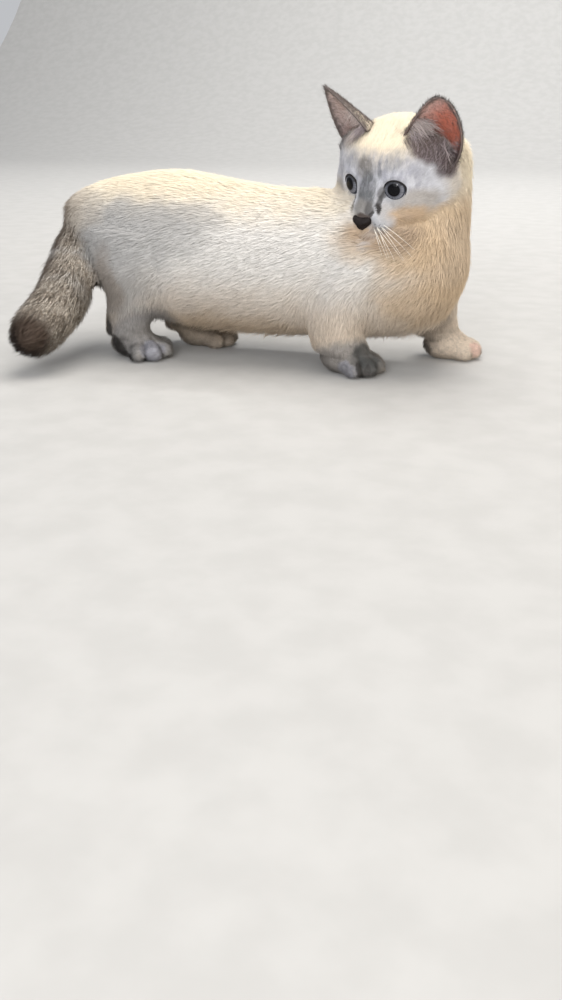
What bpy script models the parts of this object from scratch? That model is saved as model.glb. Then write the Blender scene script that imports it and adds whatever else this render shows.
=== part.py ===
"""A munchkin kitten as a still, life-size model, standing on its four short legs.

The body lies along X with the chest towards +X, and +Z is up. The head is turned back over the
right shoulder, and the tail hangs out to the right and down. Left and right are the kitten's own.
The solids are as thick as the coat, so they give the outline out to the tips of the fur.
Sizes and places are in millimetres in this text and become metres where a mesh is made.
The origin is below the middle of the bounding box, on the floor.
"""

import math

import bmesh
import bpy
from mathutils import Euler, Matrix, Vector
from mathutils.bvhtree import BVHTree

MM = 0.001
GAP = 0.3
FLOOR_SINK = 1.2

# The floor's height in the frame in which the rows below are given.
FLOOR = 2.5

# Body, from the rump to the chest: along, belly, back, half width.
TORSO_ROWS = (
    (-143, 81, 93, 6),
    (-137, 69, 99, 18),
    (-123, 48, 106, 30),
    (-100, 29, 112, 37),
    (-66, 23, 115.5, 40),
    (-32, 21, 110.5, 41),
    (0, 20.5, 106.5, 40.5),
    (30, 21, 107, 39.5),
    (58, 22.5, 109, 38.5),
    (80, 27, 106, 36),
    (96, 36, 99, 29),
    (105, 48, 88, 18),
    (109, 62, 76, 6),
)
TORSO_SIDES = 40
ROW_STEPS = 5

# Neck, from the chest up into the head: centre, then half sizes across and along the body.
NECK_ROWS = (
    ((76, 2, 74), 30, 33),
    ((76, 4, 96), 30, 33),
    ((76, 8, 114), 26, 32.5),
    ((77, 9, 128), 23, 30),
    ((76, 9, 137), 18, 25),
    ((73, 8, 143), 11, 15),
)

# Limbs: rows of centre, half size across, half size along. The last row is the ankle or wrist.
FORELEG_RIGHT_ROWS = (
    ((60, -23, 80), 18, 26),
    ((52, -27, 62), 17.5, 23),
    ((42, -27, 43), 15, 19),
    ((37.5, -25, 29), 14, 17),
    ((39.5, -21.5, 16), 14.5, 16.5),
)
FORELEG_LEFT_ROWS = (
    ((74, 22, 80), 14, 23),
    ((81, 27, 58), 15, 18),
    ((85, 29, 42), 13.5, 15),
    ((84.5, 30, 29), 14, 14.5),
    ((86, 31, 17), 14, 14),
)
HINDLEG_RIGHT_ROWS = (
    ((-86, -24, 82), 17, 29),
    ((-84, -27, 60), 18, 27),
    ((-86, -25, 42), 13.5, 20),
    ((-91, -24, 30), 11.5, 15.5),
    ((-93.5, -22.5, 17), 12, 13.5),
)
HINDLEG_LEFT_ROWS = (
    ((-82, 21, 80), 16, 26),
    ((-74, 23, 58), 17, 26),
    ((-76, 22, 42), 13.5, 17),
    ((-78, 20, 30), 11, 12),
    ((-71.5, 18.5, 12.5), 12, 13.5),
)
LIMB_SIDES = 24
CAPSULE_RINGS = 8
CAPSULE_SIDES = 20

# Paws: middle, length from heel to toes, width, height, and how far they turn out.
FOREPAW_SIZE = (33, 27, 19)
TOES = 4
TOE_RADIUS = 5.6
TOE_SPREAD = 58
PAWS = {
    "foreleg_right": ((44.5, -21), (37, 27, 20), -18),
    "foreleg_left": ((94.5, 31), FOREPAW_SIZE, 8),
    "hindleg_right": ((-86.5, -22), (40, 25, 18), -18),
    "hindleg_left": ((-58.5, 18.5), (36, 25, 18), 8),
}

# Tail: centre and radius, from inside the rump to the tip.
TAIL_ROWS = (
    ((-112, 6, 93), 12),
    ((-124, 0, 84), 14),
    ((-128.5, -12, 71), 15),
    ((-127.5, -27, 56), 16),
    ((-124.5, -44, 41.5), 17.3),
    ((-125.5, -61, 31.5), 16.5),
    ((-126, -75, 26.5), 15.5),
    ((-126, -86, 25.5), 10),
)
TAIL_SIDES = 18
TAIL_ROOT_ROW = 2
TAIL_ROOM = 2.0
TAIL_MIDDLE = ((-126, -50, 38), (0.02, -0.86, -0.5))

# Where each leg and the neck are parted from the torso: two balls and the hull round them.
LIMB_ZONES = {
    "foreleg_right": (((54, -37, 60), 27), ((43, -22, 4), 27)),
    "foreleg_left": (((82, 37, 62), 26), ((92, 31, 4), 26)),
    "hindleg_right": (((-88, -38, 62), 34), ((-85, -22, 4), 27)),
    "hindleg_left": (((-80, 37, 62), 34), ((-65, 18, 4), 27)),
    "neck": (((77, 2, 106), 37), ((76, 2, 140), 37)),
}

# Head: its place and turn, then its own axes: forwards, left, up from between the eyes.
HEAD_CENTRE = (65.1, -7, 117.3)
HEAD_YAW = -114
HEAD_PITCH = 23
HEAD_ROLL = -4
EYE_PLACE = (13.9, 12.3, -1.6)
EYE_RADIUS = 8.6
EYE_OUTWARD = 18
EYE_UPWARD = 12
LID_THICKNESS = 1.5
EYE_OPENING = (6.7, 6.3)
INNER_CORNER = 0.34
NOSE_PLACE = (33.8, 0, -15.2)
NOSE_SIZE = (4.8, 6.6, 4.4)
NOSTRIL_RADIUS = 0.9
MOUTH_RADIUS = 0.75

# Ears: inner and outer end of the base, tip, and two powers that round the outline to the tip.
EARS = {
    "ear_right": ((1.8, -11.5, 23.8), (-12, -38.5, 4), (-2.4, -39.3, 47.6), 0.90, 1.7),
    "ear_left": ((0.6, 10.5, 19.9), (-8, 35.4, 3.4), (-1.8, 38.6, 45), 0.56, 1.94),
}
EAR_DEPTH = 12
EAR_THICKNESS = 1.6

BODY_VOXEL = 1.7
HEAD_VOXEL = 1.1
BODY_PASSES = 10
HEAD_PASSES = 26
BODY_TRIANGLES = 5000
HEAD_TRIANGLES = 2700

COAT_CREAM = (0.80, 0.74, 0.64)
COAT_GREY = (0.47, 0.44, 0.42)
TAIL_BROWN = (0.30, 0.25, 0.21)
EAR_GREY = (0.36, 0.30, 0.29)
NOSE_DARK = (0.09, 0.07, 0.07)
EYE_BLUE = (0.30, 0.38, 0.47)


def clear_scene():
    for obj in list(bpy.data.objects):
        bpy.data.objects.remove(obj)


def point(values):
    return Vector(values) * MM


def new_object(name, bm):
    """One object from a bmesh, with its faces pointing outwards."""
    bmesh.ops.recalc_face_normals(bm, faces=bm.faces)
    mesh = bpy.data.meshes.new(name)
    bm.to_mesh(mesh)
    bm.free()
    obj = bpy.data.objects.new(name, mesh)
    bpy.context.scene.collection.objects.link(obj)
    return obj


def remove(*objects):
    for obj in objects:
        bpy.data.objects.remove(obj)


def apply_modifiers(obj):
    """Bakes the modifiers into the object's own mesh."""
    bpy.context.view_layer.update()
    graph = bpy.context.evaluated_depsgraph_get()
    mesh = bpy.data.meshes.new_from_object(obj.evaluated_get(graph))
    obj.modifiers.clear()
    old = obj.data
    obj.data = mesh
    bpy.data.meshes.remove(old)
    return obj


def copy_of(obj, name):
    twin = bpy.data.objects.new(name, obj.data.copy())
    bpy.context.scene.collection.objects.link(twin)
    return twin


def rows_between(rows, steps):
    """Rows of numbers on a smooth curve through the given rows."""
    out = []
    last = len(rows) - 1
    for i in range(last):
        before, start = rows[max(i - 1, 0)], rows[i]
        end, after = rows[i + 1], rows[min(i + 2, last)]
        for step in range(steps):
            t = step / steps
            out.append(tuple(
                0.5 * (2 * b + (c - a) * t + (2 * a - 5 * b + 4 * c - d) * t * t
                       + (3 * b - a - 3 * c + d) * t ** 3)
                for a, b, c, d in zip(before, start, end, after)
            ))
    out.append(rows[-1])
    return out


def loft(name, matrices, sides):
    """A closed tube through unit circles placed by the given matrices."""
    bm = bmesh.new()
    loops = []
    for matrix in matrices:
        ring = bmesh.ops.create_circle(bm, segments=sides, radius=1, matrix=matrix)["verts"]
        loops.append({edge for vert in ring for edge in vert.link_edges})
    for first, second in zip(loops, loops[1:]):
        bmesh.ops.bridge_loops(bm, edges=list(first | second))
    for end in (loops[0], loops[-1]):
        bmesh.ops.edgeloop_fill(bm, edges=list(end))
    return new_object(name, bm)


def torso_form():
    matrices = []
    for along, belly, back, half_width in rows_between(TORSO_ROWS, ROW_STEPS):
        size = Matrix.Diagonal((1, half_width * MM, (back - belly) / 2 * MM, 1))
        upright = Matrix.Rotation(math.pi / 2, 4, "Y")
        place = Matrix.Translation(point((along, 0, (belly + back) / 2)))
        matrices.append(place @ size @ upright)
    return loft("torso_form", matrices, TORSO_SIDES)


def limb_form(name, rows, sides=LIMB_SIDES):
    """A tube whose rings stay level: half sizes across and along the body."""
    flat = [(*centre, across, along) for centre, across, along in rows]
    matrices = []
    for x, y, z, across, along in rows_between(flat, ROW_STEPS):
        size = Matrix.Diagonal((along * MM, across * MM, 1, 1))
        matrices.append(Matrix.Translation(point((x, y, z))) @ size)
    return loft(name, matrices, sides)


def tube(name, rows, grow=0.0, start_back=0.0):
    """A round tube whose rings turn with its own line."""
    matrices = []
    for i, (x, y, z, radius) in enumerate(rows):
        ahead, behind = rows[min(i + 1, len(rows) - 1)], rows[max(i - 1, 0)]
        way = (Vector(ahead[:3]) - Vector(behind[:3])).normalized()
        turn = way.to_track_quat("Z", "X").to_matrix().to_4x4()
        size = Matrix.Diagonal(((radius + grow) * MM, (radius + grow) * MM, 1, 1))
        centre = Vector((x, y, z))
        if i == 0:
            centre -= way * start_back
        matrices.append(Matrix.Translation(point(centre)) @ turn @ size)
    return loft(name, matrices, TAIL_SIDES)


def tail_rows():
    return rows_between([(*centre, radius) for centre, radius in TAIL_ROWS], ROW_STEPS)


def tail_zone(name, gap):
    """The room round the tail, from a flat end at its root to past its tip."""
    rows = tail_rows()[TAIL_ROOT_ROW * ROW_STEPS:]
    last = Vector(rows[-1][:3])
    way = (last - Vector(rows[-2][:3])).normalized()
    rows.append((*(last + way * 12), TAIL_ROWS[-2][1]))
    return tube(name, rows, TAIL_ROOM + gap, gap)


def ball(name, centre, radii, turn=(0, 0, 0), segments=24, rings=16):
    """An ellipsoid: its middle, its three radii and its turn in degrees."""
    bm = bmesh.new()
    bmesh.ops.create_uvsphere(bm, u_segments=segments, v_segments=rings, radius=1)
    spin = Euler([math.radians(angle) for angle in turn]).to_matrix().to_4x4()
    size = Matrix.Diagonal((*point(radii), 1))
    bmesh.ops.transform(bm, verts=bm.verts, matrix=Matrix.Translation(point(centre)) @ spin @ size)
    return new_object(name, bm)


def capsule(name, balls, grow=0.0):
    """A closed form round two balls of different size, grown by an even amount."""
    (start, start_radius), (end, end_radius) = balls
    way = Vector(end) - Vector(start)
    turn = way.to_track_quat("Z", "X").to_matrix().to_4x4()
    half = CAPSULE_RINGS // 2
    rings = []
    for step in range(1, half + 1):
        angle = math.pi / 2 * step / half
        radius = start_radius + grow
        rings.append((-radius * math.cos(angle), radius * math.sin(angle)))
    for step in range(half, 0, -1):
        angle = math.pi / 2 * step / half
        radius = end_radius + grow
        rings.append((way.length + radius * math.cos(angle), radius * math.sin(angle)))
    matrices = []
    for height, radius in rings:
        size = Matrix.Diagonal((radius * MM, radius * MM, 1, 1))
        shift = Matrix.Translation((0, 0, height * MM))
        matrices.append(Matrix.Translation(point(start)) @ turn @ shift @ size)
    return loft(name, matrices, CAPSULE_SIDES)


def paw_forms(name):
    """The pad and back of one paw, and its toes in an arc along the front."""
    (x, y), (length, width, height), turned_out = PAWS[name]
    turn = math.radians(turned_out)
    forward = Vector((math.cos(turn), math.sin(turn), 0))
    middle = Vector((x, y, FLOOR + height / 2 - FLOOR_SINK))
    sole = middle - forward * 2
    forms = [ball(f"{name}_pad", sole, (length / 2 - 2, width / 2 - 1, height / 2), (0, 0, turned_out))]
    reach = length / 2 - TOE_RADIUS
    for toe in range(TOES):
        side = 2 * toe / (TOES - 1) - 1
        angle = turn + math.radians(TOE_SPREAD * side)
        out = Vector((math.cos(angle), math.sin(angle), 0))
        pull = 1 - 0.10 * abs(side)
        centre = Vector((x, y, 0)) + out * reach * pull + forward * 1.5
        centre.z = FLOOR + TOE_RADIUS * 1.15 - FLOOR_SINK
        radii = (TOE_RADIUS * 1.35, TOE_RADIUS * 0.86, TOE_RADIUS * 1.15)
        heading = turned_out + TOE_SPREAD * 0.45 * side
        forms.append(ball(f"{name}_toe", centre, radii, (0, 0, heading), 16, 10))
    return forms


def body_forms():
    forms = [torso_form(), tube("tail_form", tail_rows()), limb_form("neck_form", NECK_ROWS)]
    legs = {
        "foreleg_right": FORELEG_RIGHT_ROWS,
        "foreleg_left": FORELEG_LEFT_ROWS,
        "hindleg_right": HINDLEG_RIGHT_ROWS,
        "hindleg_left": HINDLEG_LEFT_ROWS,
    }
    for name, rows in legs.items():
        forms.append(limb_form(f"{name}_form", rows))
        forms += paw_forms(name)
    return forms


def head_forms():
    """The masses of a kitten's head, in the head's own axes."""
    forms = [
        ball("cranium", (-11, 0, 3.5), (29, 32, 24.5)),
        ball("nape", (-20, 0, -4), (22, 27, 23)),
        ball("forehead", (4, 0, 8), (18, 24, 15)),
        ball("bridge", (20, 0, -3.5), (16.5, 9, 9), (0, 38, 0)),
        ball("throat", (4, 0, -16), (24, 27, 13)),
        ball("chin", (23, 0, -23.5), (9, 8.5, 5.5)),
        ball("muzzle", (20, 0, -14), (16, 14, 10)),
    ]
    for side in (-1, 1):
        forms.append(ball("cheek", (-4, 15 * side, -7), (23, 23.5, 20)))
        forms.append(ball("temple", (-7, 19 * side, 4), (21, 17, 17)))
        forms.append(ball("jowl", (10, 15 * side, -13.5), (16, 16, 12)))
        forms.append(ball("under_eye", (7, 15 * side, -7), (14, 15, 12)))
        forms.append(ball("brow", (5.5, 12 * side, 6), (13.5, 16, 11)))
        forms.append(ball("whisker_pad", (25, 7.5 * side, -18), (11, 10, 7.6), (0, 0, 15 * side)))
        forms.append(ball("lids", eye_centre(side), [EYE_RADIUS + LID_THICKNESS] * 3))
    return forms


def eye_centre(side):
    return Vector((EYE_PLACE[0], EYE_PLACE[1] * side, EYE_PLACE[2]))


def eye_turn(side):
    """The turn that lays local X along the eye's line of sight."""
    return Euler((0, math.radians(-EYE_UPWARD), math.radians(EYE_OUTWARD * side))).to_matrix().to_4x4()


def fused(name, forms, voxel, passes, triangles, soften=None):
    """One smooth closed skin round overlapping forms, with about the given number of triangles."""
    bm = bmesh.new()
    for form in forms:
        bm.from_mesh(form.data)
    skin = new_object(name, bm)
    remove(*forms)
    remesh = skin.modifiers.new("remesh", "REMESH")
    remesh.mode = "VOXEL"
    remesh.voxel_size = voxel * MM
    apply_modifiers(skin)
    relax = skin.modifiers.new("relax", "SMOOTH")
    relax.factor = 0.5
    relax.iterations = passes
    if soften:
        group = skin.vertex_groups.new(name="soften")
        for vert in skin.data.vertices:
            group.add([vert.index], soften(vert.co / MM), "REPLACE")
        relax.vertex_group = "soften"
    apply_modifiers(skin)
    thin_out(skin, triangles)
    return skin


def thin_out(obj, triangles):
    """Brings a mesh down to about this many triangles."""
    obj.data.calc_loop_triangles()
    decimate = obj.modifiers.new("decimate", "DECIMATE")
    decimate.ratio = triangles / len(obj.data.loop_triangles)
    decimate.use_collapse_triangulate = True
    apply_modifiers(obj)


def boolean(obj, cutter, operation, solver="MANIFOLD"):
    """Cuts or joins one closed mesh with another."""
    step = obj.modifiers.new("cut", "BOOLEAN")
    step.operation = operation
    step.solver = solver
    step.object = cutter
    apply_modifiers(obj)
    keep_largest(obj)


def keep_largest(obj):
    """Leaves only the largest closed surface of a mesh."""
    bm = bmesh.new()
    bm.from_mesh(obj.data)
    bmesh.ops.triangulate(bm, faces=bm.faces)
    left = set(bm.faces)
    pieces = []
    while left:
        front = [left.pop()]
        piece = set(front)
        while front:
            face = front.pop()
            for edge in face.edges:
                for other in edge.link_faces:
                    if other in left:
                        left.discard(other)
                        piece.add(other)
                        front.append(other)
        pieces.append(piece)
    pieces.sort(key=lambda piece: sum(face.calc_area() for face in piece))
    scraps = [face for piece in pieces[:-1] for face in piece]
    bmesh.ops.delete(bm, geom=scraps, context="FACES")
    bm.to_mesh(obj.data)
    bm.free()


def grown(obj, amount):
    """A copy of a closed mesh with its surface moved outwards."""
    twin = copy_of(obj, f"{obj.name}_grown")
    swell = twin.modifiers.new("swell", "DISPLACE")
    swell.mid_level = 0
    swell.strength = amount * MM
    return apply_modifiers(twin)


def flat_floor(obj):
    """Cuts the soles level with the floor."""
    bm = bmesh.new()
    bm.from_mesh(obj.data)
    cut = bmesh.ops.bisect_plane(
        bm, geom=[*bm.verts, *bm.edges, *bm.faces], plane_co=(0, 0, FLOOR * MM), plane_no=(0, 0, -1),
        clear_outer=True,
    )
    edges = [item for item in cut["geom_cut"] if isinstance(item, bmesh.types.BMEdge)]
    bmesh.ops.holes_fill(bm, edges=edges, sides=0)
    bmesh.ops.triangulate(bm, faces=bm.faces)
    bm.to_mesh(obj.data)
    bm.free()


def half_space(name, place, normal, size=140, back=0.0):
    """A box whose near face passes through a place, on the side its normal points to."""
    bm = bmesh.new()
    bmesh.ops.create_cube(bm, size=size * MM)
    turn = Vector(normal).normalized().to_track_quat("Z", "Y").to_matrix().to_4x4()
    shift = Matrix.Translation(Vector((0, 0, (size / 2 - back) * MM)))
    bmesh.ops.transform(bm, verts=bm.verts, matrix=Matrix.Translation(point(place)) @ turn @ shift)
    return new_object(name, bm)


def part_with(whole, name, zone, grown_zone):
    """Splits a node off a whole: the node keeps what lies in the zone, the whole the rest."""
    node = copy_of(whole, name)
    boolean(node, zone, "INTERSECT")
    boolean(whole, grown_zone, "DIFFERENCE")
    remove(zone, grown_zone)
    return node


def part_by_plane(whole, name, cut, size):
    place, normal = cut
    return part_with(
        whole, name,
        half_space("zone", place, normal, size),
        half_space("grown_zone", place, normal, size, GAP),
    )


def part_by_balls(whole, name):
    balls = LIMB_ZONES[name]
    return part_with(
        whole, name, capsule("zone", balls), capsule("grown_zone", balls, GAP)
    )


def almond(side, reach_in, reach_out):
    """The eye's opening as a prism along its line of sight, with a corner towards the nose."""
    half_width, half_height = EYE_OPENING
    steps = 36
    bm = bmesh.new()
    ring = bmesh.ops.create_circle(bm, segments=steps, radius=1, cap_ends=True)["verts"]
    for vert in ring:
        angle = math.atan2(vert.co.y, vert.co.x)
        inner = math.remainder(angle - math.radians(-90 - 62 * side), 2 * math.pi)
        outer = math.remainder(angle - math.radians(90 - 75 * side), 2 * math.pi)
        pull = 1 + INNER_CORNER * math.exp(-((inner / 0.30) ** 2)) + 0.08 * math.exp(-((outer / 0.4) ** 2))
        across, up = half_width * math.cos(angle) * pull, half_height * math.sin(angle) * pull
        vert.co = Vector((reach_in, across, up)) * MM
    pushed = bmesh.ops.extrude_face_region(bm, geom=bm.faces[:])["geom"]
    ends = [item for item in pushed if isinstance(item, bmesh.types.BMVert)]
    bmesh.ops.translate(bm, verts=ends, vec=(( reach_out - reach_in) * MM, 0, 0))
    place = Matrix.Translation(point(eye_centre(side))) @ eye_turn(side)
    bmesh.ops.transform(bm, verts=bm.verts, matrix=place)
    return new_object("opening", bm)


def eyeball(side, grow=0.0):
    name = "eye_left" if side > 0 else "eye_right"
    radius = EYE_RADIUS + grow
    return ball(name, eye_centre(side), (radius, radius, radius), segments=18, rings=11)


def groove(name, tree, aims, radius, sides=8):
    """A thin tube along the surface, through the places where lines towards +X cross it."""
    places = []
    for across, up in aims:
        hit = tree.ray_cast(Vector((60, across, up)) * MM, Vector((-1, 0, 0)))[0]
        places.append(hit)
    curve = bpy.data.curves.new(name, "CURVE")
    curve.dimensions = "3D"
    curve.bevel_depth = radius * MM
    curve.bevel_resolution = 2
    curve.use_fill_caps = True
    line = curve.splines.new("POLY")
    line.points.add(len(places) - 1)
    for spot, place in zip(line.points, places):
        spot.co = (*place, 1)
    wire = bpy.data.objects.new(name, curve)
    bpy.context.scene.collection.objects.link(wire)
    bpy.context.view_layer.update()
    graph = bpy.context.evaluated_depsgraph_get()
    mesh = bpy.data.meshes.new_from_object(wire.evaluated_get(graph))
    bpy.data.objects.remove(wire)
    bm = bmesh.new()
    bm.from_mesh(mesh)
    bmesh.ops.remove_doubles(bm, verts=bm.verts, dist=0.01 * MM)
    return new_object(name, bm)


def surface_tree(obj):
    bm = bmesh.new()
    bm.from_mesh(obj.data)
    tree = BVHTree.FromBMesh(bm)
    bm.free()
    return tree


def mouth_line(tree):
    """The line of the mouth: down from the nose, then out and up under each whisker pad."""
    half = [(0, -19.4), (2.5, -21.2), (5.5, -22.0), (9, -21.4), (12, -19.8)]
    mirrored = [(-across, up) for across, up in reversed(half[1:])]
    return groove("mouth", tree, mirrored + half, MOUTH_RADIUS)


def ear_shell(name):
    """A cupped ear: a sheet bent round its back, with a rounded outer rim."""
    base_in, base_out, tip = (Vector(p) for p in EARS[name][:3])
    fullness, roundness = EARS[name][3:]
    half_base = (base_out - base_in) / 2
    middle = (base_in + base_out) / 2
    facing = half_base.cross(tip - middle).normalized()
    if facing.x < 0:
        facing = -facing
    bm = bmesh.new()
    bmesh.ops.create_grid(bm, x_segments=10, y_segments=8, size=0.5)
    for vert in bm.verts:
        across = vert.co.x + 0.5
        up = (vert.co.y + 0.5) * 0.985
        width = (1 - up ** roundness) ** fullness
        bow = half_base.normalized() * 1.8 * math.sin(math.pi * up)
        place = middle.lerp(tip, up) + bow
        place -= half_base * width * math.cos(math.pi * across)
        place -= facing * EAR_DEPTH * (1 - up) ** 0.85 * math.sin(math.pi * across)
        vert.co = point(place)
    bmesh.ops.triangulate(bm, faces=bm.faces)
    bmesh.ops.recalc_face_normals(bm, faces=bm.faces)
    bmesh.ops.solidify(bm, geom=bm.faces[:], thickness=EAR_THICKNESS * MM)
    return new_object(name, bm)


def nose_form(grow=0.0):
    """The nose leather: wide at the top and narrow below."""
    nose = ball("nose", (0, 0, 0), [size + grow for size in NOSE_SIZE], segments=16, rings=10)
    narrow = 0.38
    for vert in nose.data.vertices:
        height = vert.co.z / (NOSE_SIZE[2] * MM)
        vert.co.y *= 1 + narrow * height - 0.12
        vert.co.x *= 1 + 0.12 * height
        vert.co += point(NOSE_PLACE)
    return nose


def make_head():
    """The head and what sits in it, in the head's own axes."""
    head = fused("head", head_forms(), HEAD_VOXEL, HEAD_PASSES, HEAD_TRIANGLES, head_softness)
    tree = surface_tree(head)
    cutters = [mouth_line(tree), nose_form(GAP)]
    for side in (-1, 1):
        cutters.append(almond(side, 5.5, 22))
        cutters.append(eyeball(side, GAP))
    for cutter in cutters:
        boolean(head, cutter, "DIFFERENCE")
    remove(*cutters)
    nose = nose_form()
    for side in (-1, 1):
        nostril = ball(
            "nostril", (NOSE_PLACE[0] + 4.4, 2.7 * side, NOSE_PLACE[2] - 0.2),
            (2.4, NOSTRIL_RADIUS * 1.3, NOSTRIL_RADIUS), (0, 0, 40 * side), 10, 8,
        )
        boolean(nose, nostril, "DIFFERENCE")
        remove(nostril)
    pieces = [head, nose]
    seat = grown(head, GAP)
    for side in (-1, 1):
        pieces.append(eyeball(side))
    for name in EARS:
        ear = ear_shell(name)
        boolean(ear, seat, "DIFFERENCE")
        pieces.append(ear)
    remove(seat)
    return pieces


def head_matrix():
    turn = (
        Matrix.Rotation(math.radians(HEAD_YAW), 4, "Z")
        @ Matrix.Rotation(math.radians(HEAD_PITCH), 4, "Y")
        @ Matrix.Rotation(math.radians(HEAD_ROLL), 4, "X")
    )
    return Matrix.Translation(point(HEAD_CENTRE)) @ turn


def body_softness(place):
    """Paws keep their toes, so the skin is relaxed less near the floor."""
    return min(max((place.z - 10) / 14, 0.12), 1.0)


def head_softness(place):
    """The lids and the lips keep their shape, so the skin is relaxed less round them."""
    spots = [(eye_centre(1), 14), (eye_centre(-1), 14), (Vector((31, 0, -20)), 9)]
    nearest = min((place - centre).length / reach for centre, reach in spots)
    return min(max(nearest * 1.4 - 0.55, 0.12), 1.0)


def paint(obj, name, colour, roughness):
    material = bpy.data.materials.get(name) or bpy.data.materials.new(name)
    material.use_nodes = True
    shader = material.node_tree.nodes["Principled BSDF"]
    shader.inputs["Base Color"].default_value = (*colour, 1)
    shader.inputs["Roughness"].default_value = roughness
    obj.data.materials.clear()
    obj.data.materials.append(material)


def finish_nodes(nodes):
    """Gives each node its finish and moves the origin below the middle of the bounding box."""
    finishes = {
        "ear": ("ear_coat", EAR_GREY, 0.8),
        "eye": ("eye", EYE_BLUE, 0.08),
        "nose": ("nose_leather", NOSE_DARK, 0.45),
        "tail": ("tail_coat", TAIL_BROWN, 0.9),
        "foreleg": ("leg_coat", COAT_GREY, 0.9),
        "hindleg": ("leg_coat", COAT_GREY, 0.9),
    }
    corners = [vert.co for node in nodes for vert in node.data.vertices]
    low = Vector(min(corner[i] for corner in corners) for i in range(3))
    high = Vector(max(corner[i] for corner in corners) for i in range(3))
    shift = Vector((-(low.x + high.x) / 2, -(low.y + high.y) / 2, -low.z))
    for node in nodes:
        node.data.transform(Matrix.Translation(shift))
        kind = node.name.split("_")[0]
        paint(node, *finishes.get(kind, ("body_coat", COAT_CREAM, 0.9)))
        node.data.shade_smooth()
    print("origin moved by", [round(value / MM, 2) for value in shift])


def head_seats(head_pieces):
    """What the body gives way to: the head, the ears and the nose, each grown by the gap."""
    seats = [grown(piece, GAP) for piece in head_pieces if piece.name.startswith(("head", "ear"))]
    nose = nose_form(GAP)
    nose.data.transform(head_matrix())
    return [*seats, nose]


def main():
    clear_scene()
    head_pieces = make_head()
    for piece in head_pieces:
        piece.data.transform(head_matrix())
    body = fused("torso", body_forms(), BODY_VOXEL, BODY_PASSES, BODY_TRIANGLES, body_softness)
    flat_floor(body)
    for seat in head_seats(head_pieces):
        boolean(body, seat, "DIFFERENCE")
        remove(seat)
    tail = part_with(body, "tail_base", tail_zone("zone", 0.0), tail_zone("grown_zone", GAP))
    tail_tip = part_by_plane(tail, "tail_tip", TAIL_MIDDLE, 90)
    nodes = [*head_pieces, body, tail, tail_tip]
    nodes += [part_by_balls(body, name) for name in LIMB_ZONES]
    finish_nodes(nodes)


main()
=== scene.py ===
"""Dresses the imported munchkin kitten: one skin, a coat of solid tufts, eyes, nose, ears, whiskers.

Every piece stays in the place of the solids that it stands for. The skin lies inside their outline,
and the coat reaches up to it, with some tufts and the whiskers a few millimetres past it.
Sizes and places are in millimetres in this text and become metres where a mesh is made.
The head has axes of its own: forwards, left and up, from a place between and behind the eyes.
Left and right are the kitten's own.
"""

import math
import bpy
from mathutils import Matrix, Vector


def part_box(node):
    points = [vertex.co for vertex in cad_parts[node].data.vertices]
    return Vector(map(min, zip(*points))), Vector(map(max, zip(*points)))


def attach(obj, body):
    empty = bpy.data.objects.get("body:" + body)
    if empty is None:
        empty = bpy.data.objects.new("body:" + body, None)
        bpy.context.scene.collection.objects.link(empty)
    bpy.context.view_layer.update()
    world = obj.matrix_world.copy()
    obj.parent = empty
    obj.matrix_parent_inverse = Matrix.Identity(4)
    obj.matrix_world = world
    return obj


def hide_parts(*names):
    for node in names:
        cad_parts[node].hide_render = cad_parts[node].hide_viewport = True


bl_info = {
    "name": "Munchkin kitten",
    "version": (1, 0, 0),
    "blender": (4, 5, 0),
    "location": "3D View > Sidebar > Kitten",
    "description": "Skin, coat, eyes and face of a still, life-size kitten",
    "category": "Object",
}

import bmesh
import bpy
import numpy as np
from bpy.props import FloatProperty, FloatVectorProperty, IntProperty, PointerProperty
from mathutils import Euler, Matrix, Vector
from mathutils.bvhtree import BVHTree

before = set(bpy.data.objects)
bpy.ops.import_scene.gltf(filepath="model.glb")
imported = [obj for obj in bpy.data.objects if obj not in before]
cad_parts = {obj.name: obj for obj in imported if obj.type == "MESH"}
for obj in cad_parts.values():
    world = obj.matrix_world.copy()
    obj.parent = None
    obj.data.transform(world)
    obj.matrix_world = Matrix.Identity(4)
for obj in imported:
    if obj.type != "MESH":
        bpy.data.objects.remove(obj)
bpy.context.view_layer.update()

MM = 0.001
BODY = "root"

# The skin: what it joins, how far the solids swell to meet, its voxels, its smoothing and its soles.
FLESH = (
    "torso", "neck", "head", "foreleg_left", "foreleg_right", "hindleg_left", "hindleg_right",
    "tail_base", "tail_tip",
)
CLOSE_GAPS = 0.42
SKIN_VOXEL = 1.25
SKIN_PASSES = 8
SOLE_HEIGHT = 0.4
# About how many triangles the guides of the coat and of an ear's fur have, and the most that a piece has.
GUIDE_TRIANGLES = 16_000
EAR_GUIDE_TRIANGLES = 1600
PIECE_TRIANGLES = 190_000

# Head: its turn, and its features in its own axes.
HEAD_YAW = -114
HEAD_PITCH = 23
HEAD_ROLL = -4
EYE_PLACE = (13.9, 12.3, -1.6)
EYE_RADIUS = 8.6
SOCKET_GAP = 0.9
# How far each eye's opening turns outwards and up, and how much further up the eye looks.
EYE_OUTWARD = {1: 16, -1: 23}
EYE_UPWARD = 5
GAZE_UP = 8
EYE_OPENING = (6.15, 6.0)
INNER_CORNER = 0.34
NOSE_PLACE = (33.8, -0.5, -15.4)
NOSE_SIZE = (4.8, 6.6, 4.9)

# Ears: inner and outer end of the base, tip, and two powers that round the outline to the tip; then
# how deep and how thick the cups are, and their rows of faces.
EARS = {
    "ear_right": ((1.8, -11.5, 23.8), (-12, -38.5, 4), (-2.4, -39.3, 47.6), 0.90, 1.7),
    "ear_left": ((0.6, 10.5, 19.9), (-8, 35.4, 3.4), (-1.8, 38.6, 45), 0.56, 1.94),
}
EAR_DEPTH = 12
EAR_THICKNESS = 0.9
EAR_ROWS = 40

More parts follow.
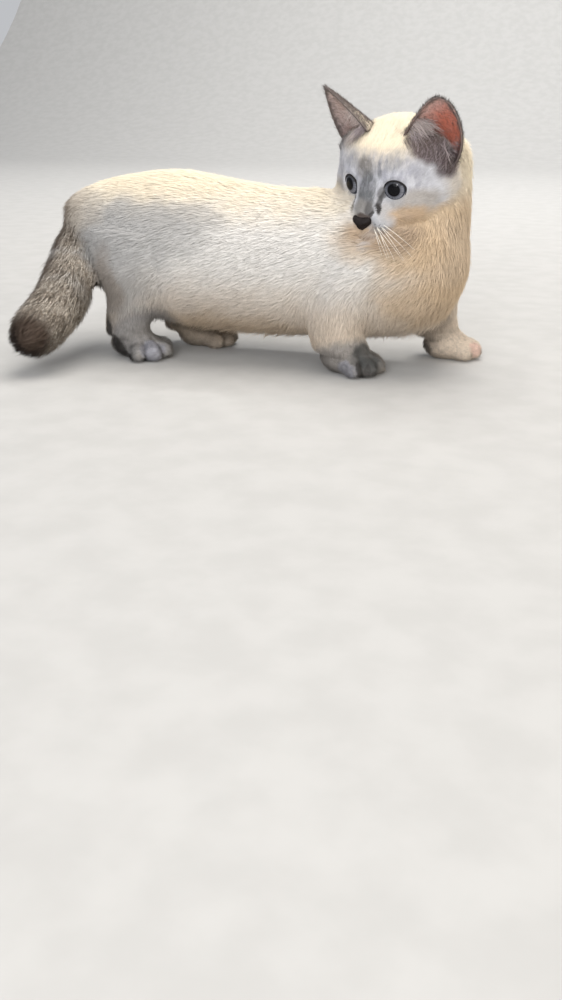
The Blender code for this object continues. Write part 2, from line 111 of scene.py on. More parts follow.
# The tail's middle line from the rump to the tip, and its radius.
TAIL_LINE = (
    ((-100, 22, 92), 12),
    ((-109, 20, 81), 14),
    ((-113.4, 8.3, 68.5), 15),
    ((-112.9, -6.7, 53.5), 15.5),
    ((-110.9, -23.7, 39), 16),
    ((-110.4, -40.7, 29), 16.5),
    ((-110.9, -54.7, 24), 15.5),
    ((-110.9, -68, 23), 10),
)

# Legs: the foot's middle, and which way its toes point, in degrees from the body's front.
FEET = {
    "foreleg_right": ((59.6, -0.7), -18),
    "foreleg_left": ((109.6, 51.3), 8),
    "hindleg_right": ((-71.4, -1.7), -18),
    "hindleg_left": ((-43.4, 38.8), 8),
}


# Places and small tools


def head_place():
    """The matrix from the head's own axes, in metres, to the kitten's."""
    corners = [Vector(corner) for side in ("eye_left", "eye_right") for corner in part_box(side)]
    between = sum(corners, Vector()) / 4
    turn = Euler([math.radians(angle) for angle in (HEAD_ROLL, HEAD_PITCH, HEAD_YAW)]).to_matrix()
    origin = between - turn @ (Vector((EYE_PLACE[0], 0, EYE_PLACE[2])) * MM)
    return Matrix.Translation(origin) @ turn.to_4x4()


HEAD = head_place()


def in_head(places):
    """Places in millimetres from the kitten's axes to the head's."""
    turn = np.array(HEAD.to_3x3())
    return (places - np.array(HEAD.translation) / MM) @ turn


def from_head(places):
    turn = np.array(HEAD.to_3x3())
    return places @ turn.T + np.array(HEAD.translation) / MM


def turned_from_head(vectors):
    return unit(vectors @ np.array(HEAD.to_3x3()).T)


def eye_centre(side):
    return Vector((EYE_PLACE[0], EYE_PLACE[1] * side, EYE_PLACE[2]))


def eye_matrix(side, further_up=0):
    """From an eye's own axes, with X out of its opening, to the kitten's, in metres."""
    up = math.radians(-EYE_UPWARD - further_up)
    turn = Euler((0, up, math.radians(EYE_OUTWARD[side] * side))).to_matrix()
    return HEAD @ Matrix.Translation(eye_centre(side) * MM) @ turn.to_4x4()


def step(low, high, value):
    """0 below low, 1 above high, and a smooth rise between."""
    part = np.clip((value - low) / (high - low), 0, 1)
    return part * part * (3 - 2 * part)


def unit(vectors):
    return vectors / np.maximum(np.linalg.norm(vectors, axis=-1, keepdims=True), 1e-9)


def arrays_of(mesh):
    """Places in millimetres and unit normals of a mesh's points."""
    places = np.empty(len(mesh.vertices) * 3)
    mesh.vertices.foreach_get("co", places)
    normals = np.empty(len(mesh.vertices) * 3)
    mesh.vertices.foreach_get("normal", normals)
    return places.reshape(-1, 3) / MM, normals.reshape(-1, 3)


def set_places(mesh, places):
    mesh.vertices.foreach_set("co", (places * MM).ravel())
    mesh.update()


def mesh_of(name, bm):
    mesh = bpy.data.meshes.new(name)
    bm.to_mesh(mesh)
    bm.free()
    return mesh


def in_scene(name, data):
    """A new object with this data, linked to the scene."""
    obj = bpy.data.objects.new(name, data)
    bpy.context.scene.collection.objects.link(obj)
    return obj


def new_object(name, bm):
    return in_scene(name, mesh_of(name, bm))


def apply_modifiers(obj):
    bpy.context.view_layer.update()
    graph = bpy.context.evaluated_depsgraph_get()
    mesh = bpy.data.meshes.new_from_object(obj.evaluated_get(graph))
    obj.modifiers.clear()
    obj.data = mesh
    return obj


def remesh(obj, voxel):
    obj.modifiers.new("remesh", "REMESH").mode = "VOXEL"
    obj.modifiers["remesh"].voxel_size = voxel * MM
    return apply_modifiers(obj)


def smooth(obj, passes, strength=None):
    """Relaxes a mesh, less where strength, a list of one number a point, is low."""
    relax = obj.modifiers.new("relax", "SMOOTH")
    relax.factor = 0.5
    relax.iterations = passes
    if strength is not None:
        group = obj.vertex_groups.new(name="relax")
        for index, value in enumerate(strength):
            group.add([index], float(value), "REPLACE")
        relax.vertex_group = "relax"
    apply_modifiers(obj)
    obj.vertex_groups.clear()
    return obj


def thinned(obj, triangles, name):
    """A copy of an object with about this many triangles."""
    twin = obj.copy()
    twin.data = obj.data.copy()
    twin.name = name
    bpy.context.scene.collection.objects.link(twin)
    twin.data.calc_loop_triangles()
    decimate = twin.modifiers.new("decimate", "DECIMATE")
    decimate.ratio = min(1.0, triangles / len(twin.data.loop_triangles))
    decimate.use_collapse_triangulate = True
    return apply_modifiers(twin)


def largest_only(obj):
    """Leaves only the largest connected surface."""
    bm = bmesh.new()
    bm.from_mesh(obj.data)
    left = set(bm.faces)
    surfaces = []
    while left:
        front = [left.pop()]
        surface = set(front)
        while front:
            for edge in front.pop().edges:
                for other in edge.link_faces:
                    if other in left:
                        left.discard(other)
                        surface.add(other)
                        front.append(other)
        surfaces.append(surface)
    surfaces.sort(key=len)
    bmesh.ops.delete(bm, geom=[face for surface in surfaces[:-1] for face in surface], context="FACES")
    bm.to_mesh(obj.data)
    bm.free()
    return obj


def ball(radii, segments=24, rings=16):
    bm = bmesh.new()
    bmesh.ops.create_uvsphere(bm, u_segments=segments, v_segments=rings, radius=1)
    bmesh.ops.scale(bm, verts=bm.verts, vec=Vector(radii) * MM)
    return bm


def joined(name, meshes):
    bm = bmesh.new()
    for mesh in meshes:
        bm.from_mesh(mesh)
    return new_object(name, bm)


def dress(obj, material, slot, *replaced):
    """Gives a piece its finish, puts it on the body and hides the solids that it stands for."""
    obj.data.materials.clear()
    obj.data.materials.append(material)
    obj.data.shade_smooth()
    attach(obj, BODY)
    if replaced:
        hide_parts(*replaced)
    return obj


# The coat's depth, length, density and lie, for places in millimetres


def near_line(places, start, end):
    """The share along a line of the spot nearest to each place, and the distance to that spot."""
    run = end - start
    share = np.clip(((places - start) @ run) / (run @ run), 0, 1)
    return share, np.linalg.norm(places - start - share[:, None] * run, axis=1)


def tail_along(places):
    """For each place: its share along the tail, its distance from the middle line, and the line's way."""
    line = np.array([row[0] for row in TAIL_LINE], float)
    count = len(line) - 1
    best = np.full(len(places), 1e9)
    along = np.zeros(len(places))
    way = np.zeros((len(places), 3))
    for index in range(count):
        run = line[index + 1] - line[index]
        part, gap = near_line(places, line[index], line[index + 1])
        nearer = gap < best
        best = np.where(nearer, gap, best)
        along = np.where(nearer, (index + part) / count, along)
        way[nearer] = run / np.linalg.norm(run)
    return along, best, way


def surface_of(*names):
    """A search tree of the surface of some solids."""
    bm = bmesh.new()
    for name in names:
        bm.from_mesh(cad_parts[name].data)
    tree = BVHTree.FromBMesh(bm)
    bm.free()
    return tree


HEAD_SURFACE = surface_of("head")
TRUNK_SURFACE = surface_of("torso", "neck")


def distance_to(tree, places):
    return np.array([tree.find_nearest(Vector(place) * MM)[3] for place in places]) / MM


def head_share(places):
    """1 on the head and 0 on the trunk, from whose solid's surface is nearer."""
    share = np.zeros(len(places))
    near = np.linalg.norm(in_head(places), axis=1) < 52
    lead = distance_to(TRUNK_SURFACE, places[near]) - distance_to(HEAD_SURFACE, places[near])
    share[near] = step(-1.5, 2.5, lead)
    return share


def zones(places):
    """How much each place belongs to the head, the tail, a leg and a foot, each from 0 to 1."""
    head = head_share(places)
    along, gap, _ = tail_along(places)
    tail = step(0.10, 0.27, along) * (1 - step(19, 25, gap))
    leg = np.zeros(len(places))
    for (x, y), _ in FEET.values():
        beside = np.hypot((places[:, 0] - x) * 0.8, places[:, 1] - y)
        leg = np.maximum(leg, (1 - step(22, 32, beside)) * (1 - step(38, 60, places[:, 2])))
    leg *= 1 - tail
    foot = leg * (1 - step(7, 30, places[:, 2]))
    return {"head": head, "tail": tail, "leg": leg, "foot": foot}


def face_parts(places):
    """Closeness to the eyes, the muzzle and the face's front, each from 0 to 1."""
    local = in_head(places)
    eyes = np.zeros(len(places))
    for side in (-1, 1):
        gap = np.linalg.norm(local - np.array(eye_centre(side)), axis=1)
        eyes = np.maximum(eyes, 1 - step(10.5, 14.5, gap))
    muzzle = 1 - step(9, 19, np.linalg.norm(local - np.array([31, 0, -17.5]), axis=1))
    front = step(-6, 14, local[:, 0])
    return eyes, muzzle, front


def ear_front(places):
    """Closeness to the place in front of each ear's base, from 0 to 1, and the way to that ear's tip."""
    local = in_head(places)
    share = np.zeros(len(places))
    upward = np.zeros((len(places), 3))
    for base_in, base_out, tip, _, _ in EARS.values():
        start, end = np.array(base_in), np.array(base_out)
        run = end - start
        part = np.clip(((local - start) @ run) / (run @ run), 0, 1)[:, None]
        gap = np.linalg.norm(local - start - part * run - np.array([3.5, 0, 0]), axis=1)
        close = 1 - step(5, 11, gap)
        nearer = close > share
        upward[nearer] = np.array(tip) - (start + end) / 2
        share = np.maximum(share, close)
    return share, turned_from_head(upward)


# The coat on the trunk, the tail, a leg and a foot.
BODY_DEPTHS = (2.8, 4.2, 2.2, 1.3)
BODY_LENGTHS = (9.0, 9.5, 5.8, 3.4)
BODY_DENSITIES = (0.92, 1.0, 1.15, 2.2)
# The coat at the head's back, the face's front, the muzzle and the eyes, and before the ears.
FACE_DEPTHS = (3.0, 1.5, 0.8, 0.35)
FACE_LENGTHS = (7.0, 3.9, 1.8, 1.6, 8.0)
# Muzzle and eyes share the last one.
FACE_DENSITIES = (1.5, 3.0, 4.4)


def coat_number(zone, body, face, shares):
    """One measure of the coat, eased from each part of the kitten to the next."""
    over_body = np.full(len(zone["head"]), body[0])
    for part, goal in zip(("tail", "leg", "foot"), body[1:]):
        over_body += (goal - over_body) * zone[part]
    over_face = face[0] + (face[1] - face[0]) * shares[0]
    for share, goal in zip(shares[1:], face[2:]):
        over_face += (goal - over_face) * share
    return over_body + (over_face - over_body) * zone["head"]


def coat_depth(places):
    """How far below the solids' outline the skin lies."""
    eyes, muzzle, front = face_parts(places)
    return coat_number(zones(places), BODY_DEPTHS, FACE_DEPTHS, (front, muzzle, eyes))


def coat_length(places):
    """How long the tufts are."""
    eyes, muzzle, front = face_parts(places)
    shares = (front, muzzle, eyes, ear_front(places)[0])
    return coat_number(zones(places), BODY_LENGTHS, FACE_LENGTHS, shares)


def coat_density(places):
    """Tufts for each square millimetre of skin."""
    eyes, muzzle, front = face_parts(places)
    shares = (front, np.maximum(muzzle, eyes))
    return coat_number(zones(places), BODY_DENSITIES, FACE_DENSITIES, shares)


def coat_hang(places, normals):
    """1 where the hair hangs free below the belly and the chest, 0 elsewhere."""
    zone = zones(places)
    trunk = (1 - zone["head"]) * (1 - zone["tail"]) * (1 - zone["foot"])
    low = 1 - step(34, 62, places[:, 2])
    return trunk * low * step(0.25, 0.85, -normals[:, 2])


def coat_lie(places, normals):
    """The way that the coat runs over the skin, as unit vectors along the surface."""
    zone = zones(places)
    x, z = places[:, 0], places[:, 2]
    lie = np.zeros((len(places), 3))
    lie[:, 0] = -1
    lie[:, 2] = -0.45 * np.abs(normals[:, 1])
    chest = step(85, 112, x)[:, None]
    lie = lie * (1 - chest) + np.array([-0.25, 0, -1.0]) * chest
    rump = (1 - step(-122, -98, x))[:, None]
    lie = lie * (1 - rump) + np.array([-0.4, 0, -1.0]) * rump
    lie = unit(lie)
    _, _, way = tail_along(places)
    lie = mixed(lie, way, zone["tail"])
    lie = mixed(lie, np.array([-0.12, 0, -1.0]), zone["leg"])
    for (foot_x, foot_y), turn in FEET.values():
        beside = np.hypot(x - foot_x, places[:, 1] - foot_y)
        toes = np.array([math.cos(math.radians(turn)), math.sin(math.radians(turn)), -0.25])
        lie = mixed(lie, toes, (1 - step(20, 26, beside)) * (1 - step(9, 17, z)))
    local = in_head(places)
    outward = unit(local - np.array([37, 0, -14.5]))
    crown = step(4, 22, local[:, 2])[:, None]
    outward = outward * (1 - 0.5 * crown) + np.array([-0.5, 0, 0.1]) * crown
    turn = np.array(HEAD.to_3x3())
    lie = mixed(lie, outward @ turn.T, zone["head"])
    fluff, upward = ear_front(places)
    lie = mixed(lie, upward, 0.8 * fluff * zone["head"])
    lie -= normals * np.sum(lie * normals, axis=1)[:, None]
    return unit(lie)


def mixed(first, second, share):
    return unit(first * (1 - share)[:, None] + second * share[:, None])


# The skin


def swollen_node(name):
    """A merged copy of a solid, grown until it reaches over the gaps to its neighbours."""
    bm = bmesh.new()
    bm.from_mesh(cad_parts[name].data)
    bmesh.ops.remove_doubles(bm, verts=bm.verts, dist=0.01 * MM)
    bm.normal_update()
    for vert in bm.verts:
        vert.co += vert.normal * CLOSE_GAPS * MM
    return mesh_of("swollen", bm)


def filler_balls():
    """Balls that fill the eye sockets, the seat of the nose and the muzzle in the joined skin."""
    meshes = []
    spots = [(eye_centre(side), (8.7, 8.7, 8.7)) for side in (-1, 1)]
    spots.append((Vector(NOSE_PLACE) - Vector((1.0, 0, -0.4)), (4.5, 5.2, 4.2)))
    spots.append((Vector((22, 0, -19)), (8, 7, 5)))
    for centre, radii in spots:
        bm = ball(radii)
        bmesh.ops.transform(bm, verts=bm.verts, matrix=HEAD @ Matrix.Translation(centre * MM))
        meshes.append(mesh_of("filler", bm))
    return meshes


def almond_reach(angle, side):
    """How far the eye's opening reaches in a direction, across and up."""
    inner = np.remainder(angle - math.radians(-90 - 62 * side) + math.pi, 2 * math.pi) - math.pi
    outer = np.remainder(angle - math.radians(90 - 75 * side) + math.pi, 2 * math.pi) - math.pi
    pull = 1 + INNER_CORNER * np.exp(-((inner / 0.30) ** 2)) + 0.08 * np.exp(-((outer / 0.4) ** 2))
    return EYE_OPENING[0] * np.cos(angle) * pull, EYE_OPENING[1] * np.sin(angle) * pull


def eye_share(places, side):
    """For places in millimetres: how far out from the eye's line they lie, as a share of the opening."""
    back = np.array(eye_matrix(side).inverted())
    local = places @ back[:3, :3].T + back[:3, 3] / MM
    angle = np.arctan2(local[:, 2] / EYE_OPENING[1], local[:, 1] / EYE_OPENING[0])
    across, up = almond_reach(angle, side)
    share = np.hypot(local[:, 1], local[:, 2]) / np.hypot(across, up)
    return local, share


def sink_sockets(places):
    """Lays the skin below the eyeball inside the opening of the lids."""
    for side in (-1, 1):
        local, share = eye_share(places, side)
        reach = np.linalg.norm(local, axis=1)
        inside = (1 - step(1.0, 1.14, share)) * (local[:, 0] > 0) * (1 - step(13, 16, reach))
        target = unit(local) * np.minimum(reach, EYE_RADIUS - SOCKET_GAP)[:, None]
        moved = local + (target - local) * inside[:, None]
        forth = np.array(eye_matrix(side))
        changed = moved @ forth[:3, :3].T + forth[:3, 3] / MM
        places = np.where(inside[:, None] > 0, changed, places)
    return places


# How far the right and the left cheek and the whisker pads stand out.
CHEEK_FULLNESS = {-1: 2.6, 1: 1.0}
PAD_FULLNESS = 0.7

# The mouth's line and the groove above it, across and up in the head's axes.
MOUTH_LINE = (
    (-12.5, -19.2), (-9, -21.2), (-5.5, -22.0), (-2.5, -21.4), (0, -19.8), (2.5, -21.4), (5.5, -22.0),
    (9, -21.2), (12.5, -19.2),
)
LIP_GROOVE = ((0, -19.8), (0, -17.5))


def mouth_gap(local):
    """Distance from the mouth's line and from the groove below the nose, seen from the front."""
    spots = local[:, 1:]
    best = np.full(len(local), 1e9)
    for line in (np.array(MOUTH_LINE, float), np.array(LIP_GROOVE, float)):
        for start, end in zip(line[:-1], line[1:]):
            best = np.minimum(best, near_line(spots, start, end)[1])
    return np.where(local[:, 0] > 20, best, 1e9)


def oval_reach(local, centre, radii):
    """How far out from an oval's middle each place lies, as a share of the oval's half sizes."""
    return np.linalg.norm((local - np.array(centre)) / np.array(radii), axis=1)


def shape_face(places, normals):
    """Presses in the mouth and the groove below the nose, and rounds the cheeks and the whisker pads."""
    local = in_head(places)
    gap = mouth_gap(local)
    move = -1.0 * np.exp(-((gap / 0.75) ** 2))
    for side, fullness in CHEEK_FULLNESS.items():
        cheek = oval_reach(local, (28, 9.5 * side, -12.0), (7, 5.0, 6.5))
        move += fullness * np.exp(-(cheek ** 2) * 1.2)
        pad = oval_reach(local, (30, 6.4 * side, -17.6), (6, 5.0, 3.6))
        move += PAD_FULLNESS * np.exp(-(pad ** 2) * 1.4) * (1 - np.exp(-((gap / 1.0) ** 2)))
    return places + normals * move[:, None]


# The clefts between the toes: their directions from the foot's middle, in degrees, depth and half width.
CLEFTS = (-38.7, 0, 38.7)
CLEFT_DEPTH = 2.2
CLEFT_WIDTH = 1.15


def shape_feet(places, normals):
    """Presses in the clefts between the toes."""
    move = np.zeros(len(places))
    for (x, y), turn in FEET.values():
        heading = math.radians(turn)
        away = places[:, :2] - np.array([x + 1.5 * math.cos(heading), y + 1.5 * math.sin(heading)])
        reach = np.hypot(away[:, 0], away[:, 1])
        angle = np.arctan2(away[:, 1], away[:, 0]) - heading
        fade = step(5, 10, reach) * (1 - step(20, 23, reach)) * (1 - step(9, 17, places[:, 2]))
        for cleft in CLEFTS:
            beside = reach * np.sin(angle - math.radians(cleft))
            ahead = np.cos(angle - math.radians(cleft)) > 0
            move -= CLEFT_DEPTH * np.exp(-((beside / CLEFT_WIDTH) ** 2)) * fade * ahead
    return places + normals * move[:, None]


def refine(obj):
    """Divides the faces of the skin on the face and at the toes."""
    bm = bmesh.new()
    bm.from_mesh(obj.data)
    centres = np.array([face.calc_center_median() for face in bm.faces]) / MM
    local = in_head(centres)
    near = (local[:, 0] > 9) & (np.abs(local[:, 1]) < 27) & (local[:, 2] > -31) & (local[:, 2] < 9)
    for (x, y), _ in FEET.values():
        near |= (np.hypot(centres[:, 0] - x, centres[:, 1] - y) < 22) & (centres[:, 2] < 18)
    edges = {edge for face, picked in zip(bm.faces, near) if picked for edge in face.edges}
    bmesh.ops.subdivide_edges(bm, edges=list(edges), cuts=1, use_grid_fill=True)
    bmesh.ops.triangulate(bm, faces=bm.faces)
    bm.to_mesh(obj.data)
    bm.free()


def skin_form():
    """One closed skin below the coat, from copies of the solids."""
    skin = joined("skin", [swollen_node(name) for name in FLESH] + filler_balls())
    largest_only(remesh(skin, SKIN_VOXEL))
    places, _ = arrays_of(skin.data)
    eyes, muzzle, _ = face_parts(places)
    firm = np.maximum(np.maximum(eyes, muzzle) * 0.8, zones(places)["foot"] * 0.75)
    smooth(skin, SKIN_PASSES, 1 - firm)
    refine(skin)
    places, normals = arrays_of(skin.data)
    set_places(skin.data, places - normals * coat_depth(places)[:, None])
    smooth(skin, 3)
    places, normals = arrays_of(skin.data)
    places = shape_feet(shape_face(places, normals), normals)
    places = sink_sockets(places)
    places[:, 2] = np.maximum(places[:, 2], SOLE_HEIGHT)
    set_places(skin.data, places)
    set_attribute(skin.data, "on_head", head_share(places))
    return skin


# The coat


class Guide:
    """A light copy of a bare form with its unwrap, from which tufts are planted."""

    def __init__(self, skin, triangles, lie_over):
        obj = thinned(skin, triangles, "coat_guide")
        unwrap(obj)
        mesh = obj.data
        mesh.calc_loop_triangles()
        count = len(mesh.loop_triangles)
        corners = np.empty(count * 3, np.int32)
        mesh.loop_triangles.foreach_get("vertices", corners)
        loops = np.empty(count * 3, np.int32)
        mesh.loop_triangles.foreach_get("loops", loops)
        flat = np.empty(len(mesh.loops) * 2)
        mesh.uv_layers.active.data.foreach_get("uv", flat)
        self.places, self.normals = arrays_of(mesh)
        self.corners = corners.reshape(-1, 3)
        self.flat = flat.reshape(-1, 2)[loops].reshape(-1, 3, 2)
        self.lie = lie_over(self.places, self.normals)
        self.tree = BVHTree.FromPolygons([Vector(p) for p in arrays_of(skin.data)[0]], polygons_of(skin))
        bpy.data.objects.remove(obj)


def polygons_of(obj):
    return [tuple(polygon.vertices) for polygon in obj.data.polygons]


def unwrap(obj):
    bpy.ops.object.select_all(action="DESELECT")
    obj.select_set(True)
    bpy.context.view_layer.objects.active = obj
    bpy.ops.object.mode_set(mode="EDIT")
    bpy.ops.mesh.select_all(action="SELECT")
    bpy.ops.uv.smart_project(angle_limit=math.radians(66), island_margin=0.003)
    bpy.ops.object.mode_set(mode="OBJECT")


def bare(places):
    """True where no tuft grows: in the eyes' openings, on the nose, along the mouth, under the feet."""
    local = in_head(places)
    hidden = (oval_reach(local, (33.5, 0, -15.9), (6.0, 6.0, 3.9)) < 1) & (local[:, 0] > 29)
    hidden |= mouth_gap(local) < 0.5
    for side in (-1, 1):
        seen, share = eye_share(places, side)
        hidden |= (share < 1.11) & (seen[:, 0] > 0) & (np.linalg.norm(seen, axis=1) < 13)
    hidden |= places[:, 2] < 1.2
    return hidden


def planted_roots(guide, rng, density, barred):
    """Roots of the tufts: place, normal, lie and spot on the unwrap."""
    points = guide.places[guide.corners]
    first_side, second_side = points[:, 1] - points[:, 0], points[:, 2] - points[:, 0]
    areas = np.linalg.norm(np.cross(first_side, second_side), axis=1) / 2
    wanted = areas * density(points.mean(axis=1), guide.normals[guide.corners].mean(axis=1))
    total = int(wanted.sum())
    picks = np.searchsorted(np.cumsum(wanted), np.arange(total) + rng.random(total))
    picks = np.minimum(picks, len(areas) - 1)
    first, second = rng.random((2, total))
    over = first + second > 1
    first = np.where(over, 1 - first, first)
    second = np.where(over, 1 - second, second)
    weights = np.stack([1 - first - second, first, second], axis=1)[:, :, None]
    chosen = guide.corners[picks]
    place = (guide.places[chosen] * weights).sum(axis=1)
    normal = unit((guide.normals[chosen] * weights).sum(axis=1))
    lie = (guide.lie[chosen] * weights).sum(axis=1)
    flat = (guide.flat[picks] * weights).sum(axis=1)
    found = [guide.tree.find_nearest(Vector(spot)) for spot in place]
    place = np.array([hit[0] for hit in found])
    lie = unit(lie - normal * np.sum(lie * normal, axis=1)[:, None])
    keep = ~barred(place)
    return place[keep], normal[keep], lie[keep], flat[keep]


# A tuft's rings: share of its length, then its width; each ring has a left, a right and a top corner.
TUFT_RINGS = ((0.0, 0.85), (0.45, 1.0))
# The faces of a tuft, by how many points it has.
TUFT_FACES = {
    4: ((2, 1, 0), (1, 3, 0), (2, 3, 1), (0, 3, 2)),
    7: ((2, 1, 0), (1, 4, 3, 0), (2, 5, 4, 1), (0, 3, 5, 2), (4, 6, 3), (5, 6, 4), (3, 6, 5)),
}
# Where each of its points lies on its patch of the bake map, and half the size of that patch.
TUFT_SPOTS = {
    4: ((-1, -0.8), (1, -0.8), (0, -1), (0, 1)),
    7: ((-1, -0.8), (1, -0.8), (0, -1), (-1, 0.1), (1, 0.1), (0, 0), (0, 1)),
}
PATCH = 0.0015
# How deep a tuft's root is set in the skin, and the height of its ridge as a share of its width.
ROOT_DEPTH = 0.35
RIDGE = 0.45


def spike_points(place, normal, lie, length, width, rise):
    """The four points of each short straight tuft of the undercoat, three at its root and the tip."""
    side = np.cross(normal, lie)
    root = place - normal * ROOT_DEPTH
    tip = place + (lie * np.cos(rise)[:, None] + normal * np.sin(rise)[:, None]) * length[:, None]
    half = side * (width / 2)[:, None]
    top = normal * (width * RIDGE)[:, None]
    return np.stack([root - half, root + half, root + top, tip], axis=1)


def tuft_points(place, normal, lie, length, width, rise, bend):
    """The seven points of each tuft, three at its root, three midway and the tip."""
    side = np.cross(normal, lie)
    start = unit(lie * np.cos(rise)[:, None] + normal * np.sin(rise)[:, None])
    later = rise * 0.35
    onward = lie * np.cos(later)[:, None] + normal * np.sin(later)[:, None]
    onward = unit(onward + side * bend[:, None])
    points = []
    for share, wide in TUFT_RINGS:
        centre = place + start * (length * share)[:, None] - normal * ROOT_DEPTH * (share == 0)
        half = side * (width * wide / 2)[:, None]
        top = normal * (width * wide * RIDGE)[:, None]
        points += [centre - half, centre + half, centre + top]
    middle = place + start * (length * TUFT_RINGS[1][0])[:, None]
    points.append(middle + onward * (length * (1 - TUFT_RINGS[1][0]))[:, None])
    return np.stack(points, axis=1)


def tuft_mesh(name, points, normals, flats, tones, heads, fluffs):
    """Joins tufts to one mesh with their bake map, tones, zones and soft shading."""
    count, corners = points.shape[:2]
    faces = TUFT_FACES[corners]
    spots = np.array(TUFT_SPOTS[corners]) * PATCH
    order = np.array([index for face in faces for index in face])
    sizes = np.array([len(face) for face in faces])
    loops = (order[None, :] + corners * np.arange(count)[:, None]).ravel()
    starts = np.concatenate([[0], np.cumsum(np.tile(sizes, count))[:-1]])
    mesh = bpy.data.meshes.new(name)
    mesh.vertices.add(count * corners)
    mesh.vertices.foreach_set("co", (points * MM).ravel())
    mesh.loops.add(len(loops))
    mesh.loops.foreach_set("vertex_index", loops)
    mesh.polygons.add(count * len(sizes))
    mesh.polygons.foreach_set("loop_start", starts)
    mesh.update(calc_edges=True)
    uv = mesh.uv_layers.new(name="OFBake")
    uv.data.foreach_set("uv", (flats[:, None, :] + spots[order][None, :, :]).ravel())
    along = (spots[:, 1] / PATCH + 1) / 2
    set_attribute(mesh, "along", np.tile(along, count))
    set_attribute(mesh, "tone", np.repeat(tones, corners))
    set_attribute(mesh, "on_head", np.repeat(heads, corners))
    set_attribute(mesh, "ear_fluff", np.repeat(fluffs, corners))
    mesh.validate()
    mesh.normals_split_custom_set_from_vertices(normals.reshape(-1, 3))
    return in_scene(name, mesh)


def set_attribute(mesh, name, values):
    layer = mesh.attributes.new(name, "FLOAT", "POINT")
    layer.data.foreach_set("value", values)


def tuft_normals(points, normal):
    """Shading that follows the skin below and turns a little round each tuft."""
    middle = points.mean(axis=1, keepdims=True)
    around = unit(points - middle)
    return unit(normal[:, None, :] + around * 0.16)


# How much longer the hanging hair is, how many tufts stand up, and how far all keep from the floor.
HANG_LENGTH = 4.0
STRAY_SHARE = 0.03
FLOOR_GAP = 0.15


def grow_coat(guide, look, rng):
    """Plants an undercoat of fine tufts and a coat of full ones, both in pieces of a fair size."""
    pieces = []
    for layer, share in (("undercoat", look.undercoat_density), ("coat", look.coat_density)):

        def density(places, normals, share=share):
            return coat_density(places) * share

        place, normal, lie, flat = planted_roots(guide, rng, density, bare)
        count = len(place)
        hang = coat_hang(place, normal)
        full = coat_length(place)
        length = (full + HANG_LENGTH * hang) * look.coat_length * rng.uniform(0.72, 1.2, count)
        slope = np.clip(coat_depth(place) / (0.86 * length), 0.10, 0.6)
        rise = np.arcsin(slope) * rng.uniform(0.7, 1.15, count)
        below_crown = 1 - step(13, 20, in_head(place)[:, 2])
        fluff = ear_front(place)[0] * head_share(place) * below_crown
        zone = zones(place)
        rise = rise + hang * rng.uniform(0.2, 0.8, count) + fluff * rng.uniform(0.0, 0.7, count)
        rise = rise + (zone["foot"] + zone["tail"]) * rng.uniform(0.0, 0.3, count)
        stray = rng.random(count) < STRAY_SHARE
        rise = np.where(stray, rise * 1.5, rise)
        lie = strayed(lie, normal, rng.normal(0, 1, count) * (0.12 + 0.25 * hang + 0.35 * fluff))
        fine = np.clip(full / 8.5, 0.3, 1.0)
        width = look.tuft_width / MM * (0.42 + 0.58 * fine) * rng.uniform(0.8, 1.15, count)
        if layer == "undercoat":
            points = spike_points(place, normal, lie, length * 0.8, width, rise * 0.85)
        else:
            points = tuft_points(place, normal, lie, length, width, rise, rng.normal(0, 0.10, count))
        points[:, :, 2] = np.maximum(points[:, :, 2], FLOOR_GAP)
        normals = tuft_normals(points, normal)
        shares = (flat, rng.random(count), head_share(place), fluff)
        pieces += tuft_pieces(layer, place, points, normals, shares)
    return pieces


def strayed(lie, normal, yaw):
    """Turns each way of the coat a little along the skin."""
    side = np.cross(normal, lie)
    return unit(lie * np.cos(yaw)[:, None] + side * np.sin(yaw)[:, None])


def tuft_pieces(layer, place, points, normals, shares):
    """Splits the tufts by the part of the body that they grow on."""
    pieces = []
    names = coat_names(place)
    triangles = sum(len(face) - 2 for face in TUFT_FACES[points.shape[1]])
    for name in sorted(set(names)):
        members = np.flatnonzero(names == name)
        parts = math.ceil(len(members) * triangles / PIECE_TRIANGLES)
        order = members[np.argsort(place[members, 0], kind="stable")]
        for index, part in enumerate(np.array_split(order, parts)):
            label = f"{layer}_{name}" if parts == 1 else f"{layer}_{name}_{index + 1}"
            own_shares = (share[part] for share in shares)
            pieces.append(tuft_mesh(label, points[part], normals[part], *own_shares))
    return pieces


def coat_names(place):
    """Which piece of the coat each tuft belongs to."""
    zone = zones(place)
    names = np.where(place[:, 1] < 20, "flank_right", "flank_left").astype(object)
    names[(place[:, 2] > 88)] = "back"
    names[zone["leg"] > 0.5] = "legs"
    names[zone["tail"] > 0.5] = "tail"
    names[zone["head"] > 0.5] = "head"
    return names


# Eyes and lids


def eye_form(side):
    """A round eyeball with a flat map across its front."""
    name = "eyeball_left" if side > 0 else "eyeball_right"
    bm = bmesh.new()
    bmesh.ops.create_uvsphere(bm, u_segments=48, v_segments=36, radius=EYE_RADIUS * MM)
    bmesh.ops.rotate(bm, verts=bm.verts, matrix=Matrix.Rotation(math.radians(90), 3, "Y"))
    layer = bm.loops.layers.uv.new("eye_front")
    for face in bm.faces:
        for loop in face.loops:
            spot = loop.vert.co / (EYE_RADIUS * MM)
            radius = math.acos(max(-1, min(1, spot.x))) / math.pi
            angle = math.atan2(spot.z, spot.y)
            loop[layer].uv = (0.5 + radius * math.cos(angle), 0.5 + radius * math.sin(angle))
    bmesh.ops.transform(bm, verts=bm.verts, matrix=eye_matrix(side, GAZE_UP))
    return new_object(name, bm)


# The lid's rim across its width: share of the opening, then height above the eyeball.
RIM_PROFILE = (
    (0.96, -0.35), (0.95, 0.2), (0.975, 0.6), (1.02, 0.85), (1.07, 0.8), (1.12, 0.45), (1.17, -0.3),
)


